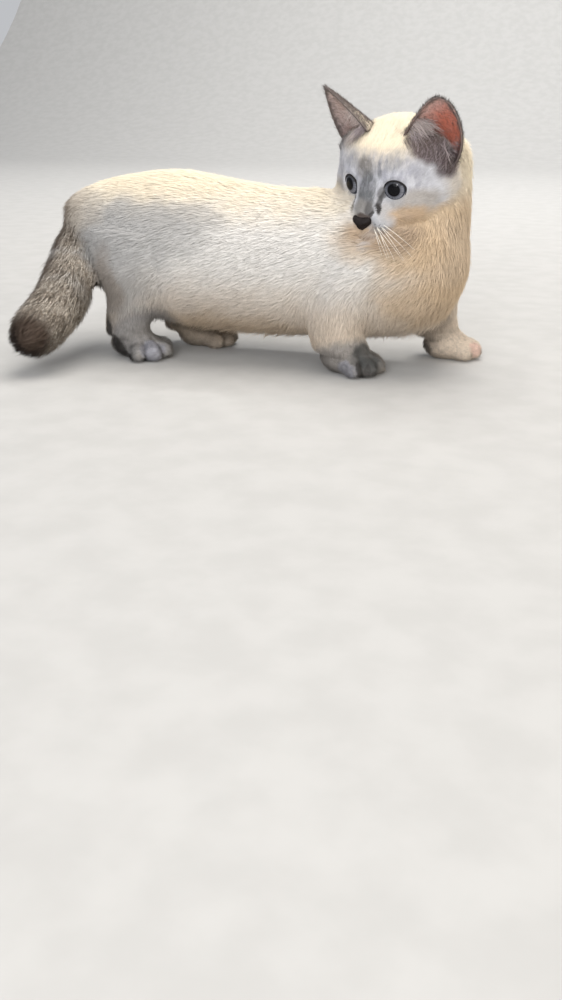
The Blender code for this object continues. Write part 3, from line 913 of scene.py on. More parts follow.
def rim_form(side):
    """The dark rim of the lids: a ring with a rounded edge that lies on the eyeball."""
    name = "eye_rim_left" if side > 0 else "eye_rim_right"
    steps = 72
    bm = bmesh.new()
    rings = []
    for share, height in RIM_PROFILE:
        ring = bmesh.ops.create_circle(bm, segments=steps, radius=1)["verts"]
        for vert in ring:
            angle = math.atan2(vert.co.y, vert.co.x)
            across, up = (float(value) for value in almond_reach(np.array(angle), side))
            across, up = across * share, up * share
            radius = EYE_RADIUS + height
            ahead = math.sqrt(max(radius ** 2 - across ** 2 - up ** 2, 0.5))
            vert.co = Vector((ahead, across, up)) * MM
        rings.append([edge for edge in {edge for vert in ring for edge in vert.link_edges}])
    for first, second in zip(rings[:-1], rings[1:]):
        bmesh.ops.bridge_loops(bm, edges=first + second)
    bmesh.ops.bridge_loops(bm, edges=rings[-1] + rings[0])
    bmesh.ops.recalc_face_normals(bm, faces=bm.faces)
    bmesh.ops.transform(bm, verts=bm.verts, matrix=eye_matrix(side))
    return new_object(name, bm)


# Nose, ears and whiskers


def nose_form():
    """The nose leather, wide at the top and narrow below, with comma-shaped nostrils."""
    bm = ball(NOSE_SIZE, 48, 32)
    for vert in bm.verts:
        height = vert.co.z / (NOSE_SIZE[2] * MM)
        vert.co.y *= 0.80 + 0.46 * height + 0.24 * min(height, 0)
        vert.co.x *= 1 + 0.12 * height
        spread = abs(vert.co.y) / (NOSE_SIZE[1] * MM)
        vert.co.z += (2.4 * spread ** 2 - 1.3) * max(height, 0) * MM
    places = np.array([vert.co for vert in bm.verts]) / MM
    for vert, place in zip(bm.verts, places):
        press = 0.0
        for side in (-1, 1):
            beside = abs(place[1]) - 3.2
            hole = (beside / 1.35, (place[2] + 0.1 - 0.35 * beside) / 0.85)
            if place[1] * side > 0 and place[0] > 0:
                press += 1.5 * math.exp(-(hole[0] ** 2 + hole[1] ** 2))
        if place[0] > 0 and place[2] < 1.2:
            press += 0.45 * math.exp(-((place[1] / 0.5) ** 2))
        vert.co.x -= press * MM
    bmesh.ops.translate(bm, verts=bm.verts, vec=Vector(NOSE_PLACE) * MM)
    bmesh.ops.transform(bm, verts=bm.verts, matrix=HEAD)
    return new_object("nose_leather", bm)


def ear_axes(name):
    """Half of an ear's base, the base's middle, the ear's tip, and the way that it faces."""
    base_in, base_out, tip = (Vector(corner) for corner in EARS[name][:3])
    half_base = (base_out - base_in) / 2
    middle = (base_in + base_out) / 2
    facing = half_base.cross(tip - middle).normalized()
    if facing.x < 0:
        facing = -facing
    return half_base, middle, tip, facing


def ear_spot(name, across, up):
    """A place on the ear's cup, for shares across and up it."""
    half_base, middle, tip, facing = ear_axes(name)
    width = (1 - up ** EARS[name][4]) ** EARS[name][3]
    place = middle.lerp(tip, up) + half_base.normalized() * 1.8 * math.sin(math.pi * up)
    place -= half_base * width * math.cos(math.pi * across)
    return place - facing * EAR_DEPTH * (1 - up) ** 0.85 * math.sin(math.pi * across)


# What the ears' finish reads at each point: shares across and up, distance to the rim, 1 on the inside.
EAR_LAYERS = ("across", "up", "rim_gap", "inside")
# How far up towards its tip the cup reaches.
EAR_TOP = 0.985


def ear_form(name):
    """A cupped ear, open to the front, with a thin rounded rim."""
    bm = bmesh.new()
    bmesh.ops.create_grid(bm, x_segments=EAR_ROWS, y_segments=34, size=0.5)
    layers = {key: bm.verts.layers.float.new(key) for key in EAR_LAYERS}
    heights = [EAR_TOP * row / EAR_ROWS for row in range(EAR_ROWS + 1)]
    edges = [ear_spot(name, across, up) for across in (0, 1) for up in heights]
    for vert in bm.verts:
        across, up = vert.co.x + 0.5, (vert.co.y + 0.5) * EAR_TOP
        place = ear_spot(name, across, up)
        vert[layers["across"]] = across
        vert[layers["up"]] = up
        vert[layers["rim_gap"]] = min((place - edge).length for edge in edges)
        vert.co = place * MM
    bmesh.ops.recalc_face_normals(bm, faces=bm.faces)
    bmesh.ops.solidify(bm, geom=bm.faces[:], thickness=EAR_THICKNESS * MM)
    bmesh.ops.recalc_face_normals(bm, faces=bm.faces)
    bm.normal_update()
    facing = ear_axes(name)[3]
    for vert in bm.verts:
        vert[layers["inside"]] = 1.0 if vert.normal.dot(facing) > 0.12 else 0.0
    bmesh.ops.transform(bm, verts=bm.verts, matrix=HEAD)
    return new_object(f"{name}_cup", bm)


def ear_fur(cup, name, rng):
    """Short fur on an ear, dense on its back and sparse elsewhere, lying towards the tip."""
    _, middle, tip, facing = ear_axes(name)
    upward = np.array(HEAD.to_3x3() @ (tip - middle).normalized())
    front = np.array(HEAD.to_3x3() @ facing)

    def lie_upward(places, normals):
        return np.tile(upward, (len(places), 1))

    def density(places, normals):
        return np.where(normals @ front < 0.1, 3.4, 0.6)

    def nowhere(places):
        return np.zeros(len(places), bool)

    guide = Guide(cup, EAR_GUIDE_TRIANGLES, lie_upward)
    place, normal, lie, flat = planted_roots(guide, rng, density, nowhere)
    count = len(place)
    length = rng.uniform(2.2, 4.0, count)
    rise = rng.uniform(0.12, 0.48, count)
    lie = strayed(lie, normal, rng.normal(0, 0.25, count))
    points = spike_points(place, normal, lie, length, rng.uniform(0.22, 0.36, count), rise)
    ones = np.ones(count)
    shading = tuft_normals(points, normal)
    return tuft_mesh(f"{name}_fur", points, shading, flat, rng.random(count), ones, ones)


# Hairs in the ear: how many, least and most share across and up for the roots, least and most length,
# how far they run across, up and out of the cup.
EAR_HAIRS = {
    "pale": (260, (0.02, 0.34), (0.03, 0.46), (7, 15), (1.0, -0.12, 0.30)),
    "outer": (60, (0.90, 0.99), (0.04, 0.40), (4, 7), (-0.7, 0.4, 0.40)),
    "low": (300, (0.05, 0.52), (0.02, 0.14), (8, 16), (1.0, -0.30, 0.70)),
    "strand": (170, (0.10, 0.66), (0.02, 0.28), (9, 16), (0.9, -0.65, 0.70)),
}


def ear_hairs(name, kind, rng):
    """Loose hairs that cross an ear's opening or stand in front of its base."""
    count, across_range, up_range, lengths, run = EAR_HAIRS[kind]
    half_base, middle, tip, facing = (np.array(value) for value in ear_axes(name))
    outward, upward = unit(half_base), unit(tip - middle)
    across = rng.uniform(*across_range, count)
    up = rng.uniform(*up_range, count)
    roots = np.array([ear_spot(name, *pair) for pair in zip(across, np.maximum(up, 0.0))])
    roots += upward * (np.minimum(up, 0) * 40)[:, None]
    if kind in ("low", "strand"):
        roots += facing * rng.uniform(2.0, 9.0, count)[:, None]
    way = outward * run[0] + upward * run[1] + facing * run[2]
    way = unit(way + rng.normal(0, 0.20, (count, 3)))
    normal = unit(np.cross(np.cross(way, facing + 0.01), way))
    normal = np.where((normal @ facing)[:, None] < 0, -normal, normal)
    length = rng.uniform(*lengths, count)
    width = rng.uniform(0.12, 0.24, count)
    place = from_head(roots)
    normal, way = turned_from_head(normal), turned_from_head(way)
    bend = rng.normal(0, 0.25, count)
    points = tuft_points(place, normal, way, length, width, np.full(count, -0.12), bend)
    flats = np.stack([0.004 + 0.992 * across, 0.004 + 0.992 * (up + 0.1)], axis=1)
    ones = np.ones(count)
    shading = tuft_normals(points, normal)
    return tuft_mesh(f"{name}_hairs_{kind}", points, shading, flats, rng.random(count), ones, ones)


WHISKER_RADIUS = 0.17
# Whiskers in the head's axes: root, way and length.
WHISKERS = (
    ((32.6, 10.8, -14.8), (0.12, 0.90, -0.42), 24),
    ((33.4, 9.4, -15.4), (0.20, 0.87, -0.45), 26),
    ((34.4, 8.4, -16.2), (0.32, 0.81, -0.48), 25),
    ((33.4, 10.6, -16.4), (0.36, 0.79, -0.50), 23),
    ((34.6, 8.8, -17.0), (0.46, 0.74, -0.50), 22),
    ((35.4, 7.4, -17.2), (0.54, 0.70, -0.48), 20),
    ((34.6, 9.6, -17.8), (0.58, 0.67, -0.48), 18),
    ((35.6, 7.8, -18.2), (0.64, 0.62, -0.47), 16),
)


def whisker_forms():
    """Fine tapered whiskers that fan out from both sides of the muzzle."""
    curve = bpy.data.curves.new("whiskers", "CURVE")
    curve.dimensions = "3D"
    curve.bevel_depth = WHISKER_RADIUS * MM
    curve.bevel_resolution = 0
    curve.use_fill_caps = True
    curve.resolution_u = 5
    for side in (-1, 1):
        for root, way, length in WHISKERS:
            start = Vector((root[0], root[1] * side, root[2]))
            along = Vector((way[0], way[1] * side, way[2])).normalized()
            sag = Vector((0.3, 0.1 * side, -0.9)) * length * 0.10
            spline = curve.splines.new("NURBS")
            spline.points.add(4)
            spline.use_endpoint_u = True
            spline.order_u = 3
            for index, point in enumerate(spline.points):
                share = index / 4
                spot = start + along * length * share + sag * (share ** 2 - share * 0.4)
                point.co = (*(HEAD @ (spot * MM)), 1)
                point.radius = 1.0 - 0.82 * share
    obj = in_scene("whiskers", curve)
    bpy.context.view_layer.update()
    graph = bpy.context.evaluated_depsgraph_get()
    mesh = bpy.data.meshes.new_from_object(obj.evaluated_get(graph))
    bpy.data.objects.remove(obj)
    return in_scene("whiskers", mesh)


# Materials


def add(tree, kind, sockets=None, **settings):
    """A new node with its settings, and its sockets set to values or joined to other nodes."""
    node = tree.nodes.new(kind)
    for key, value in settings.items():
        setattr(node, key, value)
    for key, value in (sockets or {}).items():
        put(tree, node.inputs[key], value)
    return node


def put(tree, socket, value):
    if isinstance(value, bpy.types.NodeSocket):
        tree.links.new(value, socket)
    elif socket.type == "RGBA" and len(value) == 3:
        socket.default_value = (*value, 1)
    else:
        socket.default_value = value


def blended(tree, factor, first, second):
    node = add(tree, "ShaderNodeMix", {0: factor, 6: first, 7: second}, data_type="RGBA")
    return node.outputs[2]


def math_of(tree, operation, first, second=0.0, clamp=False):
    node = add(tree, "ShaderNodeMath", {0: first, 1: second}, operation=operation, use_clamp=clamp)
    return node.outputs[0]


def ranged(tree, value, low, high, start=0.0, end=1.0):
    node = add(
        tree, "ShaderNodeMapRange", {0: value, 1: low, 2: high, 3: start, 4: end},
        interpolation_type="SMOOTHSTEP",
    )
    return node.outputs[0]


def noise_of(tree, vector, scale, detail=2.0, rough=0.5):
    sockets = {"Vector": vector, "Scale": scale, "Detail": detail, "Roughness": rough}
    return add(tree, "ShaderNodeTexNoise", sockets).outputs[0]


def vector_of(tree, operation, first, second=(0, 0, 0)):
    return add(tree, "ShaderNodeVectorMath", {0: first, 1: second}, operation=operation).outputs[0]


def scaled(tree, vector, scale):
    sockets = {0: vector, "Scale": scale}
    return add(tree, "ShaderNodeVectorMath", sockets, operation="SCALE").outputs[0]


def length_of(tree, vector):
    return add(tree, "ShaderNodeVectorMath", {0: vector}, operation="LENGTH").outputs["Value"]


def attribute_of(tree, name):
    return add(tree, "ShaderNodeAttribute", attribute_name=name).outputs["Fac"]


def toned(tree, value, colour):
    """A colour made lighter or darker."""
    return add(tree, "ShaderNodeHueSaturation", {"Value": value, "Color": colour}).outputs[0]


def patch(tree, vector, centre, radii, turn=(0, 0, 0), edge=(0.6, 1.3)):
    """A soft-edged oval mask, 1 in its middle."""
    turned = [math.radians(angle) for angle in turn]
    sockets = {"Vector": vector, "Location": centre, "Rotation": turned, "Scale": radii}
    node = add(tree, "ShaderNodeMapping", sockets, vector_type="TEXTURE")
    return ranged(tree, length_of(tree, node.outputs[0]), edge[0], edge[1], 1.0, 0.0)


def marks_and_shade_group(look):
    """The colours of skin and coat by their place on the kitten, painted shade among them; the face's where
    the input is 1.
    """
    tree = bpy.data.node_groups.new("kitten_marks_and_shade", "ShaderNodeTree")
    tree.interface.new_socket("On head", in_out="INPUT", socket_type="NodeSocketFloat")
    tree.interface.new_socket("Colour", in_out="OUTPUT", socket_type="NodeSocketColor")
    on_head = tree.nodes.new("NodeGroupInput").outputs["On head"]
    output = tree.nodes.new("NodeGroupOutput")
    places = object_mm(tree)
    body = wandering(tree, places, 0.07, 14.0)
    colour = body_colour(tree, look, body, wandering(tree, places, 0.2, 5.0))
    sockets = {
        "Vector": add(tree, "ShaderNodeTexCoord").outputs["Object"],
        "Location": HEAD.translation, "Rotation": HEAD.to_euler(), "Scale": (MM, MM, MM),
    }
    head = add(tree, "ShaderNodeMapping", sockets, vector_type="TEXTURE").outputs[0]
    streaked = vector_of(tree, "MULTIPLY", head, (0.35, 1.0, 0.35))
    face = face_colour(tree, look, wandering(tree, head, 0.2, 3.4), streaked)
    put(tree, output.inputs["Colour"], blended(tree, on_head, colour, face))
    return tree


def wandering(tree, places, scale, reach):
    """The same places, each moved a little by noise, so that marks have uneven edges."""
    noise = add(tree, "ShaderNodeTexNoise", {"Vector": places, "Scale": scale, "Detail": 3.0})
    shift = vector_of(tree, "SUBTRACT", noise.outputs["Color"], (0.5, 0.5, 0.5))
    return vector_of(tree, "ADD", places, scaled(tree, shift, reach))


def body_colour(tree, look, body, near):
    """Cream above, white on the side, beige below, grey feet, a ticked brown tail, a tan bib, and painted
    shade under chin, chest and belly and between the toes.
    """
    height = add(tree, "ShaderNodeSeparateXYZ", {0: body}).outputs["Z"]
    colour = blended(tree, ranged(tree, height, 76, 108), look.flank_white, look.back_cream)
    colour = blended(tree, ranged(tree, height, 20, 66, 0.85, 0.0), colour, look.belly_beige)
    for places, marks, edge in ((body, BODY_MARKS, (0.6, 1.3)), (near, FOOT_MARKS, (0.7, 1.15))):
        for centre, radii, amount, tint in marks:
            mark = math_of(tree, "MULTIPLY", patch(tree, places, centre, radii, edge=edge), amount)
            colour = blended(tree, mark, colour, getattr(look, tint))
    clumps = ranged(tree, noise_of(tree, near, 0.42, 3.0, 0.7), 0.44, 0.62, 0.0, 0.28)
    clumps = math_of(tree, "MULTIPLY", clumps, ranged(tree, height, 12, 34, 1.0, 0.0))
    colour = blended(tree, clumps, colour, look.foot_shade)
    on_tail = patch(tree, near, *TAIL_PATCHES[0])
    for centre, radii in TAIL_PATCHES[1:]:
        on_tail = math_of(tree, "MAXIMUM", on_tail, patch(tree, near, centre, radii, edge=(0.75, 1.2)))
    ticks = ranged(tree, noise_of(tree, near, 0.6, 3.0, 0.7), 0.38, 0.60)
    bands = ranged(tree, noise_of(tree, near, 0.12, 2.0), 0.35, 0.65, -0.30, 0.30)
    ticks = math_of(tree, "ADD", ticks, bands, clamp=True)
    tail = blended(tree, ticks, look.tail_brown, look.tail_pale)
    spine = patch(tree, near, *TAIL_BACK, (40, 0, 0), edge=(0.5, 1.3))
    tail = blended(tree, math_of(tree, "MULTIPLY", spine, 0.85), tail, look.tail_tip)
    tip = patch(tree, near, *TAIL_END, edge=(0.70, 1.12))
    tail = blended(tree, tip, tail, look.tail_tip)
    return blended(tree, on_tail, colour, tail)


# Marks on the body: middle, half sizes, strength, colour.
BODY_MARKS = (
    ((-88, -16, 58), (40, 26, 42), 0.80, "haunch_grey"),
    ((-86, 58, 58), (40, 24, 42), 0.62, "haunch_grey"),
    ((-64, -20, 80), (44, 20, 21), 0.60, "haunch_grey"),
    ((-64, 58, 80), (44, 20, 21), 0.45, "haunch_grey"),
    ((-32, -22, 88), (26, 18, 10), 0.45, "haunch_grey"),
    ((-116, 2, 86), (14, 24, 19), 0.80, "tail_pale"),
    ((-126, 6, 86), (8, 26, 20), 0.75, "tail_brown"),
    ((-104, -8, 88), (16, 18, 11), 0.50, "tail_pale"),
    ((-86, -18, 44), (13, 14, 24), 0.60, "foot_brown"),
    # Tan of the bib, partly its own colour and partly painted warm shade of the chest and between the
    # forelegs.
    ((118, 6, 72), (34, 46, 34), 0.85, "chest_tan_and_shade"),
    ((90, -14, 78), (36, 20, 17), 0.75, "chest_tan_and_shade"),
    ((100, 14, 42), (30, 40, 17), 0.75, "chest_tan_and_shade"),
    ((84, -2, 56), (14, 26, 16), 0.45, "chest_tan_and_shade"),
    # Painted shadow of the chin on the throat.
    ((80, -12, 82), (22, 16, 14), 0.80, "throat_shade"),
    # Painted shade low under the belly.
    ((-34, 20, 18), (80, 50, 14), 0.55, "chest_tan_and_shade"),
)
FOOT_MARKS = (
    ((61, -6, 8), (23, 24, 15), 0.70, "foot_grey"),
    ((73, -9, 12), (10, 9, 8), 0.80, "foot_shade"),
    ((72, -12, 5), (9, 8, 7), 0.70, "foot_shade"),
    ((78, -8, 6), (7, 8, 7), 0.65, "foot_shade"),
    ((68, -14, 11), (6, 6, 8), 0.60, "foot_shade"),
    # Painted shade in the clefts between the right forefoot's toes.
    ((68.6, -16, 6), (2.0, 4, 5), 0.85, "dark_fur_and_cleft_shade"),
    ((73.2, -14, 5), (1.5, 3, 5), 0.55, "dark_fur_and_cleft_shade"),
    ((61, -14, 4), (7, 8, 5.5), 0.70, "toe_pale"),
    ((-66, -4, 8), (26, 22, 28), 0.85, "foot_grey"),
    ((-56, -13, 7), (9, 9, 8), 0.80, "toe_pale"),
    ((-87, -12, 15), (4.5, 8, 12), 0.92, "dark_fur_and_cleft_shade"),
    ((-84, -13, 9), (6, 8, 7), 0.92, "dark_fur_and_cleft_shade"),
    ((-81, -12, 5), (7, 7, 6), 0.92, "dark_fur_and_cleft_shade"),
    ((-73, -15, 2.5), (9, 6, 3.5), 0.85, "dark_fur_and_cleft_shade"),
    ((-46, 38, 8), (28, 22, 16), 0.70, "foot_brown"),
    ((-40, 30, 34), (18, 12, 9), 0.60, "foot_brown"),
    ((93, 46, 5), (8, 9, 6), 0.75, "dark_fur_and_cleft_shade"),
    ((98, 44, 24), (14, 12, 16), 0.60, "foot_brown"),
    ((126, 47, 7), (5, 7, 6), 0.60, "foot_pink"),
)
# Ovals that cover the tail, and the dark ones of its back and its end: middle, half sizes.
TAIL_PATCHES = (
    ((-117, 10, 78), (13, 18, 16)),
    ((-113, 2, 62), (19, 19, 19)),
    ((-112, -16, 46), (20, 20, 20)),
    ((-111, -34, 33), (21, 21, 21)),
    ((-111, -54, 25), (21, 21, 21)),
    ((-111, -68, 22), (21, 21, 21)),
)
TAIL_BACK = ((-125, -20, 54), (8, 60, 60))
TAIL_END = ((-110, -76, 20), (28, 22, 25))


def face_colour(tree, look, head, streaked):
    """White cheeks and muzzle, cream crown, tan throat, and a mottled grey patch down to the nose, with
    painted shade over the face's white, below the eyes, on the muzzle, beside the nose and under the chin.
    """
    # The face's white carries painted shade: cooler and darker than the body's white.
    face = blended(tree, patch(tree, head, (-12, 0, 26), (40, 34, 20)), look.face_shaded_white, look.back_cream)
    face = blended(tree, patch(tree, head, (-34, 0, 0), (26, 60, 46)), face, look.back_cream)
    cool = ranged(tree, noise_of(tree, streaked, 0.35, 3.0, 0.6), 0.35, 0.65, 0.15, 0.85)
    cool = math_of(tree, "MULTIPLY", cool, patch(tree, head, (16, 0, 6), (14, 40, 13)))
    face = blended(tree, cool, face, look.face_cool)
    # The throat's tan, partly its own colour and partly painted shade under the jaw.
    throat = patch(tree, head, (0, 0, -30), (44, 58, 21), edge=(0.76, 1.14))
    face = blended(tree, throat, face, look.chest_tan_and_shade)
    for side in (1, -1):
        cheek = patch(tree, head, (-12, 30 * side, -8), (16, 20, 16))
        face = blended(tree, math_of(tree, "MULTIPLY", cheek, 0.55), face, look.cheek_cream)
    stripes = ranged(tree, noise_of(tree, streaked, 0.55, 3.0, 0.65), 0.38, 0.60, 0.58, 1.0)
    for centre, radii, turn, amount, tint in FACE_MARKS:
        mark = math_of(tree, "MULTIPLY", patch(tree, head, centre, radii, turn), amount)
        if tint in STRIPED:
            mark = math_of(tree, "MULTIPLY", mark, stripes)
        face = blended(tree, mark, face, getattr(look, tint))
    rows = add(tree, "ShaderNodeSeparateXYZ", {0: head}).outputs
    across = math_of(tree, "SINE", math_of(tree, "MULTIPLY", rows["Y"], 2.5))
    up = math_of(tree, "SINE", math_of(tree, "MULTIPLY", rows["Z"], 2.9))
    dashes = math_of(tree, "MULTIPLY", ranged(tree, across, 0.0, 0.7), ranged(tree, up, 0.2, 0.8))
    for side in (-1, 1):
        pad = patch(tree, head, (32, 9.8 * side, -16.4), (6, 4.6, 2.6), edge=(0.8, 1.1))
        mark = math_of(tree, "MULTIPLY", math_of(tree, "MULTIPLY", dashes, pad), 0.6)
        face = blended(tree, mark, face, look.whisker_grey)
    return face


# The colours of the face that stripes break up.
STRIPED = ("mask_grey", "mask_upper")
# Marks on the face, in the head's own axes: middle, half sizes, turn, strength, colour.
FACE_MARKS = (
    # Painted shade below the eyes and on the sides of the muzzle.
    ((17, 26, -7.5), (14, 13, 7), (0, 0, 0), 0.80, "cheek_shade"),
    ((17, -26, -7.5), (14, 13, 7), (0, 0, 0), 0.80, "cheek_shade"),
    ((26, 13, -11), (9, 6, 6), (0, 0, 0), 0.50, "cheek_shade"),
    ((26, -13, -11), (9, 6, 6), (0, 0, 0), 0.40, "cheek_shade"),
    ((21, 21, -14), (12, 13, 5.5), (0, 0, 0), 0.75, "cheek_peach"),
    ((21, -21, -14), (12, 13, 5.5), (0, 0, 0), 0.75, "cheek_peach"),
    # Painted shade on the white of the muzzle.
    ((30, -7, -16), (9, 9, 4.6), (0, 0, 0), 0.95, "muzzle_shaded_white"),
    ((30, 8, -16), (9, 9, 4.6), (0, 0, 0), 0.95, "muzzle_shaded_white"),
    # The lip's pink, darkened with painted shade under the chin.
    ((31, 0, -26), (12, 18, 5.8), (0, 0, 0), 0.95, "pink_lip_and_chin_shade"),
    ((19, -3.4, 10.5), (8, 6.2, 6.5), (0, 30, 0), 0.85, "mask_upper"),
    ((26.0, -0.6, 2.6), (9, 6.2, 7.4), (0, 38, 0), 1.0, "mask_grey"),
    ((29.6, 0.4, -2.2), (7, 5.6, 5.4), (0, 38, 0), 1.0, "mask_grey"),
    # Painted shade at the inner corner of the left eye.
    ((24.6, 8.0, -0.6), (5, 1.9, 3.6), (-15, 0, 0), 0.70, "mask_shade"),
    ((20, 6.0, 11.5), (6, 1.2, 5.5), (0, 30, 0), 0.50, "mask_grey"),
    ((15, 14, 14.5), (7, 6, 4), (0, 30, 0), 0.30, "mask_grey"),
    ((15, -15, 13.5), (7, 6, 5), (0, 30, 0), 0.25, "mask_grey"),
    ((32, -1.2, -7.6), (5, 6.4, 4.6), (0, 38, 0), 0.90, "bridge_beige"),
    # Painted shade on the left side of the nose bridge.
    ((32.2, 3.9, -7.4), (4, 2.7, 4.6), (-12, 0, 0), 0.85, "mask_shade"),
    # Painted shadow beside the nose; the marks below are the dark tear streaks.
    ((32.8, 5.2, -10.2), (4, 1.3, 2.2), (-30, 0, 0), 0.85, "tear_marks_and_nose_shadow"),
    ((22.6, 8.9, -2.6), (4, 1.7, 3.0), (-20, 0, 0), 0.75, "tear_marks_and_nose_shadow"),
    ((26.0, 7.6, -4.8), (4, 1.5, 3.0), (-10, 0, 0), 0.80, "tear_marks_and_nose_shadow"),
    ((29.6, 8.0, -7.8), (4, 1.3, 3.6), (23, 0, 0), 1.0, "tear_marks_and_nose_shadow"),
    ((23.0, -9.6, -4.4), (4, 1.7, 2.8), (0, 0, 0), 0.75, "tear_marks_and_nose_shadow"),
    ((26.5, -8.6, -6.4), (4, 1.3, 2.8), (0, 0, 0), 0.85, "tear_marks_and_nose_shadow"),
    ((30.0, -8.2, -9.0), (4, 1.2, 3.2), (0, 0, 0), 0.90, "tear_marks_and_nose_shadow"),
    ((35.5, 0, -11.4), (3, 6.4, 2.2), (0, 0, 0), 0.95, "mask_brown"),
    ((16, 12.6, -1.8), (12, 8.0, 7.6), (0, 0, 0), 0.45, "mask_grey"),
    ((16, -12.6, -1.8), (12, 8.0, 7.6), (0, 0, 0), 0.45, "mask_grey"),
    ((1, 26, 18), (15, 15.5, 5.6), (-38, 0, 0), 0.92, "ear_base"),
    ((-6, 34.5, 6), (12, 7, 7), (0, 0, 0), 0.92, "ear_base"),
    ((-2, -26, 19), (13, 15, 6), (38, 0, 0), 0.30, "ear_base"),
)


def new_material(name):
    """A material with only its shader and output, its tree and its shader."""
    material = bpy.data.materials.new(name)
    material.use_nodes = True
    return material, material.node_tree, material.node_tree.nodes["Principled BSDF"]


def object_mm(tree):
    source = add(tree, "ShaderNodeTexCoord").outputs["Object"]
    return scaled(tree, source, 1 / MM)


def marked(tree, marks_and_shade):
    """The kitten's markings and painted shade as a colour, the face's where the piece is on the head."""
    on_head = attribute_of(tree, "on_head")
    return add(tree, "ShaderNodeGroup", {"On head": on_head}, node_tree=marks_and_shade).outputs[0]


def skin_material(marks_and_shade):
    material, tree, shader = new_material("kitten_skin")
    places = object_mm(tree)
    mottle = ranged(tree, noise_of(tree, places, 1.6, 3.0), 0.3, 0.7, 0.84, 1.0)
    put(tree, shader.inputs["Base Color"], toned(tree, mottle, marked(tree, marks_and_shade)))
    hair = noise_of(tree, places, 2.4, 4.0, 0.7)
    bump = add(tree, "ShaderNodeBump", {"Height": hair, "Strength": 0.5, "Distance": 0.0006})
    put(tree, shader.inputs["Normal"], bump.outputs[0])
    shader.inputs["Roughness"].default_value = 0.85
    shader.inputs["Specular IOR Level"].default_value = 0.2
    return material


def coat_material(marks_and_shade, look):
    """Hair in the colours of the markings and painted shade, with painted shade at the root that lightens to
    the tip, each tuft with its own tone.
    """
    material, tree, shader = new_material("kitten_coat")
    tone = attribute_of(tree, "tone")
    along = attribute_of(tree, "along")
    clumps = noise_of(tree, object_mm(tree), 0.22, 2.0)
    tone_share = ranged(tree, tone, 0.0, 1.0, 0.87, 1.06)
    # Painted shade at the roots of the tufts, lighter towards the tips.
    root_shade = ranged(tree, along, 0.0, 1.0, -0.07, 0.04)
    value = math_of(tree, "ADD", tone_share, root_shade)
    value = math_of(tree, "ADD", value, ranged(tree, clumps, 0.3, 0.7, -0.04, 0.03))
    colour = toned(tree, value, marked(tree, marks_and_shade))
    fluff = attribute_of(tree, "ear_fluff")
    pale = math_of(tree, "MULTIPLY", fluff, 0.8)
    pale = math_of(tree, "MULTIPLY", ranged(tree, tone, 0.78, 0.84), pale)
    dark = math_of(tree, "MULTIPLY", fluff, 0.5)
    dark = math_of(tree, "MULTIPLY", ranged(tree, tone, 0.30, 0.40, 1.0, 0.0), dark)
    colour = blended(tree, dark, colour, look.mask_brown)
    colour = blended(tree, pale, colour, look.ear_fluff)
    put(tree, shader.inputs["Base Color"], colour)
    shader.inputs["Roughness"].default_value = 0.8
    shader.inputs["Specular IOR Level"].default_value = 0.25
    return material


PUPIL_BLACK = (0.003, 0.003, 0.004)


def eye_material(look):
    """Pale iris with a dark outer ring round a black pupil, under a wet gloss, with a painted shadow of the
    upper lid across its top.
    """
    material, tree, shader = new_material("kitten_eye")
    spot = add(tree, "ShaderNodeUVMap", uv_map="eye_front").outputs[0]
    centred = vector_of(tree, "SUBTRACT", spot, (0.5, 0.5, 0.0))
    radius = length_of(tree, centred)
    streaks = noise_of(tree, vector_of(tree, "NORMALIZE", centred), 9.0, 3.0, 0.6)
    iris = blended(tree, ranged(tree, streaks, 0.35, 0.65), look.iris_dark, look.iris_pale)
    inner = ranged(tree, radius, 0.13, 0.19, 0.8, 0.0)
    iris = blended(tree, inner, iris, look.iris_inner)
    ring = ranged(tree, radius, 0.200, 0.232)
    colour = blended(tree, ring, iris, look.iris_ring)
    white = ranged(tree, radius, 0.30, 0.33)
    colour = blended(tree, white, colour, look.eye_white)
    # Painted shadow of the upper lid: the eye darkens towards its top.
    height = add(tree, "ShaderNodeSeparateXYZ", {0: centred}).outputs["Y"]
    shade = ranged(tree, height, -0.04, 0.19, 1.0, 0.32)
    colour = toned(tree, shade, colour)
    pupil = ranged(tree, radius, 0.128, 0.144, 1.0, 0.0)
    colour = blended(tree, pupil, colour, PUPIL_BLACK)
    put(tree, shader.inputs["Base Color"], colour)
    put(tree, shader.inputs["Roughness"], ranged(tree, streaks, 0.2, 0.8, 0.28, 0.36))
    shader.inputs["Specular IOR Level"].default_value = 0.0
    shader.inputs["Coat Weight"].default_value = 0.35
    shader.inputs["Coat IOR"].default_value = 1.4
    shader.inputs["Coat Roughness"].default_value = 0.03
    return material


def leather_material(name, colour, gloss, grain, height):
    """Bare skin with fine pebbles, darker between them."""
    material, tree, shader = new_material(name)
    places = object_mm(tree)
    cells = add(tree, "ShaderNodeTexVoronoi", {"Vector": places, "Scale": grain}).outputs["Distance"]
    shade = ranged(tree, cells, 0.0, 0.7, 1.15, 0.65)
    uneven = ranged(tree, noise_of(tree, places, 0.5), 0.3, 0.7, -0.12, 0.15)
    shade = math_of(tree, "ADD", shade, uneven)
    put(tree, shader.inputs["Base Color"], toned(tree, shade, colour))
    put(tree, shader.inputs["Roughness"], ranged(tree, cells, 0.0, 0.7, gloss, gloss + 0.2))
    sockets = {"Height": cells, "Strength": 0.4, "Distance": height}
    bump = add(tree, "ShaderNodeBump", sockets, invert=True)
    put(tree, shader.inputs["Normal"], bump.outputs[0])
    shader.inputs["Specular IOR Level"].default_value = 0.14
    return material


